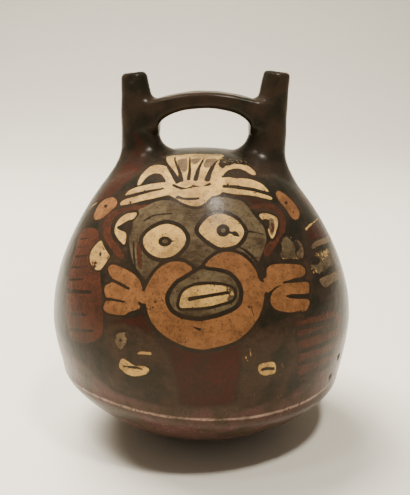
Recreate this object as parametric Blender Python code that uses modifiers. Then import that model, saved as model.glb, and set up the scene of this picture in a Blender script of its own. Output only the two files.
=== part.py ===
"""A double spout bottle of fired clay: a hollow round body, two leaning spouts and the strap bridge between them.

It is one piece. The front of the bottle faces -Y, the bridge runs along X, and the origin is the middle of
the base on the surface that it stands on. All lengths are in metres.
"""

import math

import bmesh
import bpy
from mathutils import Matrix, Vector

# Body, from the flat of the base to the crown under the bridge
BODY_HEIGHT = 0.1426
BODY_RADIUS = 0.0748
BASE_FLAT_RADIUS = 0.020
WALL = 0.0045
FLOOR = 0.0060

# The outer profile between the base and the crown, as (share of the height, share of the radius)
PROFILE_SHARES = (
    (0.014, 0.375),
    (0.035, 0.472),
    (0.077, 0.633),
    (0.126, 0.763),
    (0.175, 0.868),
    (0.217, 0.932),
    (0.259, 0.952),
    (0.316, 0.976),
    (0.372, 0.993),
    (0.435, 1.000),
    (0.526, 0.979),
    (0.631, 0.920),
    (0.736, 0.827),
    (0.842, 0.697),
    (0.926, 0.555),
    (0.978, 0.350),
    (0.996, 0.160),
)

# How the hand-built body strays from a true turned one: its axis drifts along X, and its lower turn tilts
WIDEST_SHARE = 0.435
BASE_DRIFT = -0.0015
CROWN_DRIFT = -0.0015
TURN_TILT = 0.044
TURN_HEIGHT = 0.035
TILT_START = 0.012

# Spouts
SPOUT_SPACING = 0.0594
SPOUT_OFFSET = 0.0010
SPOUT_LENGTH = 0.0370
RIM_RADIUS = 0.0060
SPOUT_FOOT_RADIUS = 0.0105
SPOUT_FILLET = 0.0085
SPOUT_LEANS = {"left": math.radians(-4.6), "right": math.radians(7.6)}
BORE_RIM_RADIUS = 0.0036
BORE_FOOT_RADIUS = 0.0053
BORE_LEAN_SHARE = 0.4

# Bridge
BRIDGE_CLEARANCE = 0.0204
BRIDGE_THICKNESS = 0.0075
BRIDGE_WIDTH = 0.0175
BRIDGE_END_WIDTH = 0.0142
BRIDGE_RISE = 0.0062
BRIDGE_SPRING = 0.0102
BRIDGE_EDGE_RADIUS = 0.0026

# Facets
BODY_FACETS = 64
HOLLOW_FACETS = 40
SPOUT_FACETS = 32
BORE_FACETS = 20
PROFILE_STEPS = 2
ARCH_STEPS = 20
EDGE_STEPS = 2
WELD_DISTANCE = 0.00001
OVERLAP = 0.0020

CLAY_COLOUR = (0.085, 0.055, 0.038, 1.0)


def clear_scene():
    """Remove whatever the file holds."""
    for item in list(bpy.data.objects):
        bpy.data.objects.remove(item)


def make_collection(name):
    """Return a new collection in the scene."""
    made = bpy.data.collections.new(name)
    bpy.context.scene.collection.children.link(made)
    return made


def clay_material():
    """Return the burnished dark slip."""
    made = bpy.data.materials.new("burnished_slip")
    made.use_nodes = True
    shader = made.node_tree.nodes["Principled BSDF"]
    shader.inputs["Base Color"].default_value = CLAY_COLOUR
    shader.inputs["Roughness"].default_value = 0.38
    shader.inputs["Metallic"].default_value = 0.0
    return made


def smooth_line(points, steps):
    """Return points along a Catmull-Rom curve, with so many steps from each point to the next."""
    line = [Vector(p) for p in points]
    ends = [2 * line[0] - line[1], *line, 2 * line[-1] - line[-2]]
    made = []
    for a, b, c, d in zip(ends, ends[1:], ends[2:], ends[3:]):
        for step in range(steps):
            t = step / steps
            made.append(
                0.5 * (2 * b + (c - a) * t + (2 * a - 5 * b + 4 * c - d) * t**2 + (3 * b - a - 3 * c + d) * t**3)
            )
    return [*made, line[-1]]


def body_profile():
    """Return the outer profile as (radius, height), from the crown down to the edge of the base's flat."""
    shares = [(0.0, BODY_HEIGHT)]
    shares += [(r * BODY_RADIUS, z * BODY_HEIGHT) for z, r in reversed(PROFILE_SHARES)]
    shares += [(BASE_FLAT_RADIUS, 0.0)]
    return smooth_line(shares, PROFILE_STEPS)


def hollow_profile():
    """Return the inner profile, one wall inside the outer one, from the crown down to the floor's edge."""
    outer = body_profile()
    inner = [(0.0, BODY_HEIGHT - WALL)]
    for above, here, below in zip(outer, outer[1:], outer[2:]):
        run = (below - above).normalized()
        inward = Vector((run.y, -run.x)) * WALL
        point = here + inward
        if point.x > inner[-1][0] * 0.5 and point.y > FLOOR:
            inner.append((point.x, point.y))
    edge = inner[-1][0] - WALL
    return [*inner, (edge, FLOOR)]


def shoulder_height(radius):
    """Return the height of the body's outer skin at that radius, above its widest ring."""
    line = [p for p in body_profile() if p.y >= BODY_HEIGHT * WIDEST_SHARE]
    for high, low in zip(line, line[1:]):
        if high.x <= radius <= low.x:
            share = (radius - high.x) / (low.x - high.x)
            return high.y + (low.y - high.y) * share
    return line[-1].y


def smooth_share(share):
    """Return a share held between 0 and 1 and eased at both ends."""
    share = min(max(share, 0.0), 1.0)
    return share * share * (3 - 2 * share)


def drift(height):
    """Return how far the body's axis has drifted to +X at that height."""
    widest = BODY_HEIGHT * WIDEST_SHARE
    if height < widest:
        return BASE_DRIFT * ((widest - height) / widest) ** 2
    return CROWN_DRIFT * ((height - widest) / (BODY_HEIGHT - widest)) ** 3


def strayed(point):
    """Return a point of the turned body where the hand-built body has it."""
    widest = BODY_HEIGHT * WIDEST_SHARE
    tilting = smooth_share((widest - point.z) / (widest - TURN_HEIGHT)) * min(point.z / TILT_START, 1.0)
    return Vector((point.x + drift(point.z), point.y, point.z - TURN_TILT * tilting * point.x))


def object_from(mesh, name, collection):
    """Return a new object that holds the mesh, in that collection."""
    made = bpy.data.objects.new(name, mesh)
    collection.objects.link(made)
    return made


def settled(item, name, collection):
    """Return item as a plain mesh object with its modifiers applied and its seams welded, and remove item."""
    bpy.context.view_layer.update()
    graph = bpy.context.evaluated_depsgraph_get()
    mesh = bpy.data.meshes.new_from_object(item.evaluated_get(graph))
    place = item.matrix_world.copy()
    bpy.data.objects.remove(item)
    work = bmesh.new()
    work.from_mesh(mesh)
    bmesh.ops.remove_doubles(work, verts=work.verts, dist=WELD_DISTANCE)
    work.to_mesh(mesh)
    work.free()
    made = object_from(mesh, name, collection)
    made.matrix_world = place
    return made


def turned(name, profile, facets, collection):
    """Return a closed turned solid. The profile is (radius, height) pairs down its outer side."""
    line = [(0.0, profile[0][1]), *profile, (0.0, profile[-1][1])]
    mesh = bpy.data.meshes.new(name)
    mesh.from_pydata([(x, 0.0, z) for x, z in line], [(i, i + 1) for i in range(len(line) - 1)], [])
    item = object_from(mesh, name + "_profile", collection)
    screw = item.modifiers.new("turn", "SCREW")
    screw.steps = facets
    screw.render_steps = facets
    screw.use_merge_vertices = True
    screw.merge_threshold = WELD_DISTANCE
    return settled(item, name, collection)


def reshape(item, rule):
    """Move each vertex of the object to where the rule says."""
    for vertex in item.data.vertices:
        vertex.co = rule(vertex.co)


def spout_foot(side):
    """Return the point where a spout's axis meets the shoulder."""
    x = SPOUT_OFFSET + SPOUT_SPACING / 2 * (-1 if side == "left" else 1)
    return Vector((x, 0.0, shoulder_height(abs(x - CROWN_DRIFT))))


def spout_rise(side):
    """Return the length of a spout along its axis, from the shoulder to its rim."""
    rise = BODY_HEIGHT + SPOUT_LENGTH - spout_foot(side).z
    return rise / math.cos(SPOUT_LEANS[side])


def spout_profile(side):
    """Return a spout's outer profile, from the rim down to the fillet's edge, sunk under the shoulder."""
    rise = spout_rise(side)
    taper = (SPOUT_FOOT_RADIUS - RIM_RADIUS) / rise
    line = [(RIM_RADIUS + taper * rise * share, rise * (1 - share)) for share in (0.0, 0.2, 0.4, 0.6)]
    for degrees in (0, 15, 30, 45, 60, 75):
        turn = math.radians(degrees)
        height = SPOUT_FILLET * (1 - math.sin(turn))
        tube = RIM_RADIUS + taper * (rise - height)
        line.append((tube + SPOUT_FILLET * (1 - math.cos(turn)), height))
    foot = line[-1][0] + SPOUT_FILLET * 0.1
    return [*line, (foot, -OVERLAP / 4), (foot, -OVERLAP * 2)]


def leaning(side, lean):
    """Return the matrix that stands a turned piece on a spout's foot, leaning away from the bridge."""
    return Matrix.Translation(spout_foot(side)) @ Matrix.Rotation(lean, 4, "Y")


def spout(side, collection):
    """Return a spout whose filleted foot is draped over the sloping shoulder."""
    item = turned(f"{side}_spout", spout_profile(side), SPOUT_FACETS, collection)
    lean = SPOUT_LEANS[side]
    foot = spout_foot(side)
    reach = SPOUT_FILLET * 2

    def drape(point):
        share = smooth_share((reach - point.z) / reach)
        axis = foot + Vector((math.sin(lean), 0.0, math.cos(lean))) * point.z
        ring = Matrix.Rotation(lean * (1 - share), 4, "Y") @ Vector((point.x, point.y, 0.0))
        placed = axis + ring
        fall = shoulder_height(math.hypot(placed.x - CROWN_DRIFT, placed.y)) - foot.z
        return placed + Vector((0.0, 0.0, fall * share))

    reshape(item, drape)
    return item


def bore(side, collection):
    """Return the cutter for a spout's bore, from above the rim down into the hollow body."""
    rise = spout_rise(side)
    lean = SPOUT_LEANS[side]
    bore_lean = lean * BORE_LEAN_SHARE
    depth = WALL * 3
    grow = (BORE_FOOT_RADIUS - BORE_RIM_RADIUS) / rise
    profile = [
        (BORE_RIM_RADIUS, OVERLAP),
        (BORE_RIM_RADIUS, 0.0),
        (BORE_RIM_RADIUS + grow * rise / 2, -rise / 2),
        (BORE_FOOT_RADIUS, -rise),
        (BORE_FOOT_RADIUS, -rise - depth),
    ]
    item = turned(f"{side}_bore", profile, BORE_FACETS, collection)
    rim = leaning(side, lean) @ Vector((0.0, 0.0, rise))
    stand = Matrix.Translation(rim) @ Matrix.Rotation(bore_lean, 4, "Y")
    reshape(item, lambda point: stand @ point)
    return item


def spout_radius_at(side, height):
    """Return a spout's outer radius at that height above the base, leaving out its fillet."""
    foot = spout_foot(side)
    rise = spout_rise(side)
    share = (height - foot.z) / math.cos(SPOUT_LEANS[side]) / rise
    return SPOUT_FOOT_RADIUS + (RIM_RADIUS - SPOUT_FOOT_RADIUS) * share


def spout_axis_at(side, height):
    """Return the X of a spout's axis at that height above the base."""
    foot = spout_foot(side)
    return foot.x + (height - foot.z) * math.tan(SPOUT_LEANS[side])


def bridge_outline():
    """Return the bridge's outline in the plane of the spouts, as (x, z): a low arch over an oval gap."""
    top = BODY_HEIGHT + BRIDGE_CLEARANCE + BRIDGE_THICKNESS
    end = top - BRIDGE_RISE
    spring = BODY_HEIGHT + BRIDGE_SPRING
    left = spout_axis_at("left", end)
    right = spout_axis_at("right", end)
    gap_left = spout_axis_at("left", spring) + spout_radius_at("left", spring)
    gap_right = spout_axis_at("right", spring) - spout_radius_at("right", spring)
    middle = (left + right) / 2
    half = (right - left) / 2
    over = []
    for step in range(ARCH_STEPS + 1):
        share = -1 + 2 * step / ARCH_STEPS
        over.append((middle + half * share, end + BRIDGE_RISE * math.cos(share * math.pi / 2)))
    gap_middle = (gap_left + gap_right) / 2
    gap_half = (gap_right - gap_left) / 2
    gap_rise = BODY_HEIGHT + BRIDGE_CLEARANCE - spring
    under = []
    for step in range(ARCH_STEPS + 1):
        turn = math.pi * step / ARCH_STEPS
        under.append((gap_middle + gap_half * math.cos(turn), spring + gap_rise * math.sin(turn)))
    return [*over, (right, spring), *under, (left, spring)]


def bridge(collection):
    """Return the strap bridge: its outline, drawn out to its width with rounded edges, narrower at its ends."""
    curve = bpy.data.curves.new("bridge_outline", "CURVE")
    curve.dimensions = "2D"
    curve.fill_mode = "BOTH"
    curve.extrude = BRIDGE_WIDTH / 2 - BRIDGE_EDGE_RADIUS
    curve.bevel_depth = BRIDGE_EDGE_RADIUS
    curve.bevel_resolution = EDGE_STEPS
    curve.offset = -BRIDGE_EDGE_RADIUS
    points = bridge_outline()
    line = curve.splines.new("POLY")
    line.points.add(len(points) - 1)
    for point, (x, z) in zip(line.points, points):
        point.co = (x, z, 0.0, 1.0)
    line.use_cyclic_u = True
    item = object_from(curve, "bridge_outline", collection)
    item.rotation_euler = (math.pi / 2, 0.0, 0.0)
    made = settled(item, "bridge", collection)
    made.data.transform(made.matrix_world)
    made.matrix_world = Matrix.Identity(4)
    middle = (points[0][0] + points[ARCH_STEPS][0]) / 2
    half = (points[ARCH_STEPS][0] - points[0][0]) / 2
    narrowing = 1 - BRIDGE_END_WIDTH / BRIDGE_WIDTH

    def narrow(point):
        share = (point.x - middle) / half
        return Vector((point.x, point.y * (1 - narrowing * share * share), point.z))

    reshape(made, narrow)
    return made


def apply_boolean(item, operand, operation):
    """Join the operand to the object, or cut it out, by a Boolean modifier that stays on the object."""
    step = item.modifiers.new(f"{operation.lower()}_{operand.name}", "BOOLEAN")
    step.operation = operation
    step.solver = "EXACT"
    step.object = operand
    operand.hide_render = True
    operand.display_type = "WIRE"


def build_vase():
    """Build the bottle: the body, spouts and bridge joined into one solid, then hollowed and bored."""
    parts = make_collection("double_spout_vase")
    cutters = make_collection("cutters")
    vase = turned("double_spout_vase", [tuple(p) for p in body_profile()][1:], BODY_FACETS, parts)
    reshape(vase, strayed)
    for side in SPOUT_LEANS:
        apply_boolean(vase, spout(side, cutters), "UNION")
    apply_boolean(vase, bridge(cutters), "UNION")
    hollow = turned("hollow", hollow_profile()[1:], HOLLOW_FACETS, cutters)
    reshape(hollow, strayed)
    apply_boolean(vase, hollow, "DIFFERENCE")
    for side in SPOUT_LEANS:
        apply_boolean(vase, bore(side, cutters), "DIFFERENCE")
    vase.data.shade_smooth()
    vase.data.materials.append(clay_material())
    return vase


clear_scene()
build_vase()
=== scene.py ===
"""Looks of a double spout vase: burnished earthenware whose front carries a masked face in coloured slips.

The clay is one piece. Its surface is built as a field of distances: a turned body that strays from the
round, two leaning spouts, a strap bridge and the hollow inside. A mesh of the solid is drawn onto that
field. The painted coats are kept on the mesh as distances to the edge of each coat, which the material
cuts sharp. Lengths inside the classes are in millimetres, and meshes are in metres.
"""

import logging
import math
from dataclasses import dataclass, field
from enum import Enum
from typing import Callable, Iterable, Sequence

import bmesh
import bpy
import numpy as np
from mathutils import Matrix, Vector


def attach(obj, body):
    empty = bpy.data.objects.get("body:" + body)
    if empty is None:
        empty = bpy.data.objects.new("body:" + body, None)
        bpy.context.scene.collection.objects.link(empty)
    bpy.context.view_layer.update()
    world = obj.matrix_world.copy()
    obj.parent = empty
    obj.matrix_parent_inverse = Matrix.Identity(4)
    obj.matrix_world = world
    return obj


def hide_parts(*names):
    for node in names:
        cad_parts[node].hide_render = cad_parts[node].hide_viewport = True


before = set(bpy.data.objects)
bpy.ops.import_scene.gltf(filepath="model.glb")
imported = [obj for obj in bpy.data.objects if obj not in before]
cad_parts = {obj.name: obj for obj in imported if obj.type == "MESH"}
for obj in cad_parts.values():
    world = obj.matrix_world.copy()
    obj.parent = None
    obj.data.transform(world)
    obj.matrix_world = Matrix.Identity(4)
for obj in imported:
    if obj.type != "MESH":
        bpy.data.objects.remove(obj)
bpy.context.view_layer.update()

MM = 0.001
VASE_NODE = "double_spout_vase"
CLAY_SLOT = "slip_painted_clay"
CURVE_STEPS = 5
TINY = 1e-12

Points = Sequence[tuple[float, float]]
Array = np.ndarray

log = logging.getLogger("vase")


# Helpers for lines and distances


def eased(share: Array) -> Array:
    """Hold shares between 0 and 1 and ease them at both ends."""
    held = np.clip(share, 0.0, 1.0)
    return held * held * (3.0 - 2.0 * held)


def curve_through(points: Points | Array, steps: int, closed: bool = False) -> Array:
    """Draw a smooth curve through a few points.

    Args:
        points: The points that the curve passes through.
        steps: How many short lines it takes from each point to the next.
        closed: Whether the curve comes back to its first point.

    Returns:
        The curve's points, one row each.
    """
    line = np.array(points, float)
    if closed:
        ends = np.vstack([line[-1], line, line[0], line[1]])
    else:
        ends = np.vstack([2 * line[0] - line[1], line, 2 * line[-1] - line[-2]])
    a, b, c, d = ends[:-3, None], ends[1:-2, None], ends[2:-1, None], ends[3:, None]
    t = (np.arange(steps) / steps)[None, :, None]
    bends = 2 * b + (c - a) * t + (2 * a - 5 * b + 4 * c - d) * t**2 + (3 * b - a - 3 * c + d) * t**3
    curve = (0.5 * bends).reshape(-1, line.shape[1])
    return curve if closed else np.vstack([curve, line[-1]])


def line_distance(places: Array, line: Array, widths: Array | None = None) -> Array:
    """Measure how far places are from a line of short segments.

    Args:
        places: The places, one row each.
        line: The line's points, one row each.
        widths: The half width of the line at each of its points, or nothing for a bare line.

    Returns:
        The distance of each place from the line, less the half width there.
    """
    nearest = np.full(len(places), np.inf)
    for index in range(len(line) - 1):
        start, run = line[index], line[index + 1] - line[index]
        length = max(float(run @ run), TINY)
        along = np.clip(((places - start) @ run) / length, 0.0, 1.0)
        reach = np.hypot(*(places - start - along[:, None] * run).T)
        if widths is not None:
            reach = reach - (widths[index] + (widths[index + 1] - widths[index]) * along)
        nearest = np.minimum(nearest, reach)
    return nearest


def outline_distance(places: Array, outline: Array) -> Array:
    """Measure how far places are from a closed outline.

    Args:
        places: The places, one row each.
        outline: The outline's corners, one row each.

    Returns:
        The distance of each place, below zero inside the outline.
    """
    loop = np.vstack([outline, outline[:1]])
    inside = np.zeros(len(places), bool)
    x, y = places.T
    for (x0, y0), (x1, y1) in zip(loop[:-1], loop[1:]):
        if y0 == y1:
            continue
        crosses = (y0 > y) != (y1 > y)
        inside ^= crosses & (x < x0 + (y - y0) * (x1 - x0) / (y1 - y0))
    reach = line_distance(places, loop)
    return np.where(inside, -reach, reach)


def round_join(first: Array, second: Array, radius: float) -> Array:
    """Join two forms, given as distances, with a fillet of that radius between them."""
    near = np.maximum(radius, np.minimum(first, second))
    return near - np.hypot(np.maximum(radius - first, 0.0), np.maximum(radius - second, 0.0))


def round_meet(first: Array, second: Array, radius: float) -> Array:
    """Keep what two forms share, with its new edge rounded to that radius."""
    return -round_join(-first, -second, radius)


class OutlineTable:
    """Distances to a closed outline, worked out once on a grid and read between its points."""

    def __init__(
        self, outline: Array, low: tuple[float, float], high: tuple[float, float], step: float
    ) -> None:
        """Work out the grid.

        Args:
            outline: The outline's corners.
            low: The grid's lowest corner.
            high: The grid's highest corner.
            step: The grid's step.
        """
        self.low = np.array(low)
        self.step = step
        columns = np.arange(low[0], high[0] + step, step)
        rows = np.arange(low[1], high[1] + step, step)
        grid = np.stack(np.meshgrid(columns, rows, indexing="ij"), -1).reshape(-1, 2)
        self.table = outline_distance(grid, outline).reshape(len(columns), len(rows))

    def read(self, x: Array, y: Array) -> Array:
        """Read the distance at each place.

        Args:
            x: First coordinate of the places.
            y: Second coordinate of the places.

        Returns:
            The distances, below zero inside the outline.
        """
        across = np.clip((x - self.low[0]) / self.step, 0, self.table.shape[0] - 1.001)
        up = np.clip((y - self.low[1]) / self.step, 0, self.table.shape[1] - 1.001)
        i, j = across.astype(int), up.astype(int)
        s, t = across - i, up - j
        lower = self.table[i, j] * (1 - s) + self.table[i + 1, j] * s
        upper = self.table[i, j + 1] * (1 - s) + self.table[i + 1, j + 1] * s
        return lower * (1 - t) + upper * t


# Forms of the clay


@dataclass
class Body:
    """The hollow round body: a turned profile, a drifting axis and a lower turn that tilts."""

    height: float = 142.6
    radius: float = 74.8
    base_flat: float = 20.0
    wall: float = 4.5
    floor: float = 6.0
    widest_share: float = 0.435
    base_drift: float = -1.5
    crown_drift: float = -1.5
    turn_tilt: float = 0.044
    turn_height: float = 35.0
    tilt_start: float = 12.0
    table_step: float = 0.5
    table_below: float = 8.0
    table_beside: float = 15.0
    table_above: float = 50.0
    shares: Points = (
        (0.014, 0.375), (0.035, 0.472), (0.077, 0.633), (0.126, 0.763), (0.175, 0.868), (0.217, 0.932),
        (0.259, 0.952), (0.316, 0.976), (0.372, 0.993), (0.435, 1.000), (0.526, 0.979), (0.631, 0.920),
        (0.736, 0.827), (0.842, 0.697), (0.926, 0.555), (0.978, 0.350), (0.996, 0.160),
    )

    def __post_init__(self) -> None:
        """Draw the profile and its table of distances."""
        rising = [(self.base_flat, 0.0)]
        rising += [(radius * self.radius, height * self.height) for height, radius in self.shares]
        rising += [(0.0, self.height)]
        self.profile = curve_through(rising, CURVE_STEPS)
        mirrored = self.profile[::-1] * (-1.0, 1.0)
        outline = np.vstack([self.profile, mirrored[1:]])
        low = (0.0, -self.table_below)
        high = (self.radius + self.table_beside, self.height + self.table_above)
        self.table = OutlineTable(outline, low, high, self.table_step)

    def straighten(self, places: Array) -> Array:
        """Move places from the hand-built body to the true turned one.

        Args:
            places: Places in the vase's frame.

        Returns:
            Where they are on a body with an upright axis and a level turn.
        """
        x, y, z = places.T
        widest = self.height * self.widest_share
        level = z
        for _ in range(2):
            tilting = eased((widest - level) / (widest - self.turn_height))
            tilting = tilting * np.clip(level / self.tilt_start, 0, 1)
            level = z + self.turn_tilt * tilting * x
        below = self.base_drift * np.clip((widest - level) / widest, 0, 1) ** 2
        above = self.crown_drift * np.clip((level - widest) / (self.height - widest), 0, 1) ** 3
        return np.stack([x - below - above, y, level], 1)

    def distance(self, places: Array) -> Array:
        """Measure how far places are outside the body's skin."""
        x, y, z = self.straighten(places).T
        return self.table.read(np.hypot(x, y), z)

    def hollow(self, places: Array, skin: Array) -> Array:
        """Measure how far places are outside the hollow, from their distance to the skin."""
        return np.maximum(skin + self.wall, self.floor - places[:, 2])

    def shoulder_height(self, radius: float) -> float:
        """Find the height of the skin at that radius, above the widest ring."""
        upper = self.profile[self.profile[:, 1] >= self.height * self.widest_share][::-1]
        return float(np.interp(radius, upper[:, 0], upper[:, 1]))


@dataclass
class Spout:
    """A tapered spout that leans away from the bridge, with the bore that runs down into the body."""

    foot_x: float
    foot_z: float
    top_z: float
    lean: float
    rim_radius: float = 6.0
    foot_radius: float = 10.5
    bore_rim: float = 3.6
    bore_foot: float = 5.3
    bore_lean_share: float = 0.4
    bore_below: float = 14.0
    lip: float = 1.5
    taper_start: float = -0.3
    taper_end: float = 1.2

    def __post_init__(self) -> None:
        """Work out the axes of the spout and of its bore."""
        turn = math.radians(self.lean)
        self.axis = np.array([math.sin(turn), 0.0, math.cos(turn)])
        self.foot = np.array([self.foot_x, 0.0, self.foot_z])
        self.rise = (self.top_z - self.foot_z) / self.axis[2]
        self.rim = self.foot + self.axis * self.rise
        bore_turn = turn * self.bore_lean_share
        self.bore_axis = np.array([math.sin(bore_turn), 0.0, math.cos(bore_turn)])

    def axis_x(self, height: float) -> float:
        """Give the X of the spout's axis at that height."""
        return self.foot_x + (height - self.foot_z) * math.tan(math.radians(self.lean))

    def radius_at(self, height: float) -> float:
        """Give the spout's radius at that height."""
        share = (height - self.foot_z) / (self.top_z - self.foot_z)
        return self.foot_radius + (self.rim_radius - self.foot_radius) * share

    def distance(self, places: Array) -> Array:
        """Measure how far places are outside the spout, its bore left out.

        Args:
            places: Places in the vase's frame.

        Returns:
            The distances, below zero inside.
        """
        reach = places - self.foot
        along = reach @ self.axis
        across = np.linalg.norm(reach - along[:, None] * self.axis, axis=1)
        share = np.clip(along / self.rise, self.taper_start, self.taper_end)
        side = across - (self.foot_radius + (self.rim_radius - self.foot_radius) * share)
        return round_meet(side, along - self.rise, self.lip)

    def bore(self, places: Array) -> Array:
        """Measure how far places are outside the bore.

        Args:
            places: Places in the vase's frame.

        Returns:
            The distances, below zero inside.
        """
        reach = places - self.rim
        along = reach @ self.bore_axis
        across = np.linalg.norm(reach - along[:, None] * self.bore_axis, axis=1)
        share = np.clip(-along / self.rise, 0.0, self.taper_end)
        side = across - (self.bore_rim + (self.bore_foot - self.bore_rim) * share)
        return np.maximum(side, -along - self.rise - self.bore_below)


@dataclass
class Bridge:
    """The strap bridge: a low arch over an oval gap, rounded along its edges."""

    left: Spout
    right: Spout
    crown_z: float = 142.6
    clearance: float = 20.4
    thickness: float = 7.5
    width: float = 17.5
    end_width: float = 14.2
    rise: float = 6.2
    spring: float = 10.2
    edge_radius: float = 2.4
    steps: int = 30
    table_step: float = 0.5
    table_beside: float = 30.0
    table_above: float = 20.0
    narrowing_end: float = 1.2

    def __post_init__(self) -> None:
        """Draw the bridge's outline in the plane of the spouts."""
        top = self.crown_z + self.clearance + self.thickness
        end = top - self.rise
        spring = self.crown_z + self.spring
        left, right = self.left.axis_x(end), self.right.axis_x(end)
        self.middle, self.half = (left + right) / 2, (right - left) / 2
        gap_left = self.left.axis_x(spring) + self.left.radius_at(spring)
        gap_right = self.right.axis_x(spring) - self.right.radius_at(spring)
        over = np.linspace(-1.0, 1.0, self.steps + 1)
        turn = np.linspace(0.0, math.pi, self.steps + 1)
        upper = np.stack([self.middle + self.half * over, end + self.rise * np.cos(over * math.pi / 2)], 1)
        gap_middle, gap_half = (gap_left + gap_right) / 2, (gap_right - gap_left) / 2
        under_x = gap_middle + gap_half * np.cos(turn)
        under_z = spring + (self.clearance - self.spring) * np.sin(turn)
        under = np.stack([under_x, under_z], 1)
        outline = np.vstack([upper, [(right, spring)], under, [(left, spring)]])
        low = (left - self.table_beside, spring - self.table_above)
        high = (right + self.table_beside, top + self.table_above)
        self.table = OutlineTable(outline, low, high, self.table_step)

    def distance(self, places: Array) -> Array:
        """Measure how far places are outside the strap.

        Args:
            places: Places in the vase's frame.

        Returns:
            The distances, below zero inside.
        """
        x, y, z = places.T
        share = np.clip((x - self.middle) / self.half, -self.narrowing_end, self.narrowing_end)
        half_width = (self.width + (self.end_width - self.width) * share**2) / 2
        return round_meet(self.table.read(x, z), np.abs(y) - half_width, self.edge_radius)


@dataclass(frozen=True)
class Chip:
    """A chip or pit in the surface.

    Attributes:
        place: The middle of the ball that is taken out.
        size: The ball's radius.
    """

    place: tuple[float, float, float]
    size: float


@dataclass
class Clay:
    """The whole fired clay as one field: body, spouts and bridge joined, hollowed, chipped and uneven."""

    foot_fillet: float = 8.5
    strap_fillet: float = 3.5
    inner_fillet: float = 3.0
    lip: float = 0.9
    unevenness: float = 0.22
    finer_waves: float = 0.6
    even_below: float = 20.0
    finger_marks: float = 0.16
    marks_start: float = 140.0
    marks_full: float = 12.0
    chip_edge: float = 0.4
    chip_reach: float = 3.0
    spout_spacing: float = 59.4
    spout_offset: float = 1.0
    spout_length: float = 37.0
    root_height: float = 95.0
    left_lean: float = -4.6
    right_lean: float = 7.6
    left_lip: float = 2.6
    right_lip: float = 1.5
    chips: list[Chip] = field(default_factory=list)

    def __post_init__(self) -> None:
        """Set the parts in their places."""
        self.body = Body()
        top = self.body.height + self.spout_length
        self.spouts = [
            self._spout(-1, self.left_lean, top, self.left_lip),
            self._spout(1, self.right_lean, top, self.right_lip),
        ]
        self.bridge = Bridge(*self.spouts, crown_z=self.body.height)

    def _spout(self, side: int, lean: float, top: float, lip: float) -> Spout:
        """Set one spout on the shoulder.

        Args:
            side: Which side of the bridge it is on, -1 for left.
            lean: How far it leans out of the upright, in degrees.
            top: The height of its rim.
            lip: How round its rim is worn.

        Returns:
            The spout.
        """
        x = self.spout_offset + side * self.spout_spacing / 2
        z = self.body.shoulder_height(abs(x - self.body.crown_drift))
        return Spout(x, z, top, lean, lip=lip)

    def outside(self, places: Array) -> Array:
        """Measure how far places are outside the outer skin.

        Args:
            places: Places in the vase's frame.

        Returns:
            The distances, below zero inside.
        """
        form = self.body.distance(places)
        spouts = np.minimum(self.spouts[0].distance(places), self.spouts[1].distance(places))
        spouts = np.maximum(spouts, self.root_height - places[:, 2])
        handle = round_join(spouts, self.bridge.distance(places), self.strap_fillet)
        return round_join(form, handle, self.foot_fillet)

    def inside(self, places: Array) -> Array:
        """Measure how far places are outside the hollow and its bores.

        Args:
            places: Places in the vase's frame.

        Returns:
            The distances, below zero inside.
        """
        form = self.body.hollow(places, self.body.distance(places))
        bores = np.minimum(self.spouts[0].bore(places), self.spouts[1].bore(places))
        return round_join(form, bores, self.inner_fillet)

    def wander(self, places: Array) -> Array:
        """Give the hand-built unevenness of the surface, none of it at the base.

        Args:
            places: Places in the vase's frame.

        Returns:
            How far the surface stands proud of the even form at each place.
        """
        x, y, z = places.T
        waves = np.sin(x / 13.0 + 1.3 * np.sin(z / 19.0)) * np.cos(y / 15.0 - z / 23.0)
        waves = waves + self.finer_waves * np.sin(z / 7.5 + x / 17.0 - y / 21.0)
        waves = waves * eased(z / self.even_below) / (1.0 + self.finer_waves)
        pressed = np.sin(z / 3.1 + 1.7 * np.sin(x / 6.3)) * np.cos(x / 4.7 + y / 3.9 + z / 11.0)
        pressed = pressed * eased((z - self.marks_start) / self.marks_full)
        return waves * self.unevenness + pressed * self.finger_marks

    def distance(self, places: Array) -> Array:
        """Measure how far places are outside the clay.

        Args:
            places: Places in the vase's frame.

        Returns:
            The distances, below zero inside.
        """
        outer = self.outside(places) - self.wander(places)
        for chip in self.chips:
            away = np.linalg.norm(places - np.array(chip.place), axis=1)
            cut = round_meet(outer, chip.size - away, self.chip_edge)
            outer = np.where(away < chip.size * self.chip_reach, cut, outer)
        return round_meet(outer, -self.inside(places), self.lip)

    def slope(self, places: Array, reach: float = 0.05) -> Array:
        """Give the field's slope at each place.

        Args:
            places: Places in the vase's frame.
            reach: How far to each side the field is read.

        Returns:
            The slopes along the three axes, one row for each place.
        """
        sides = []
        for axis in range(3):
            step = np.zeros(3)
            step[axis] = reach
            sides.append((self.distance(places + step) - self.distance(places - step)) / (2 * reach))
        return np.stack(sides, 1)


# The photograph's view, and the chart on which the coats are drawn


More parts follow.
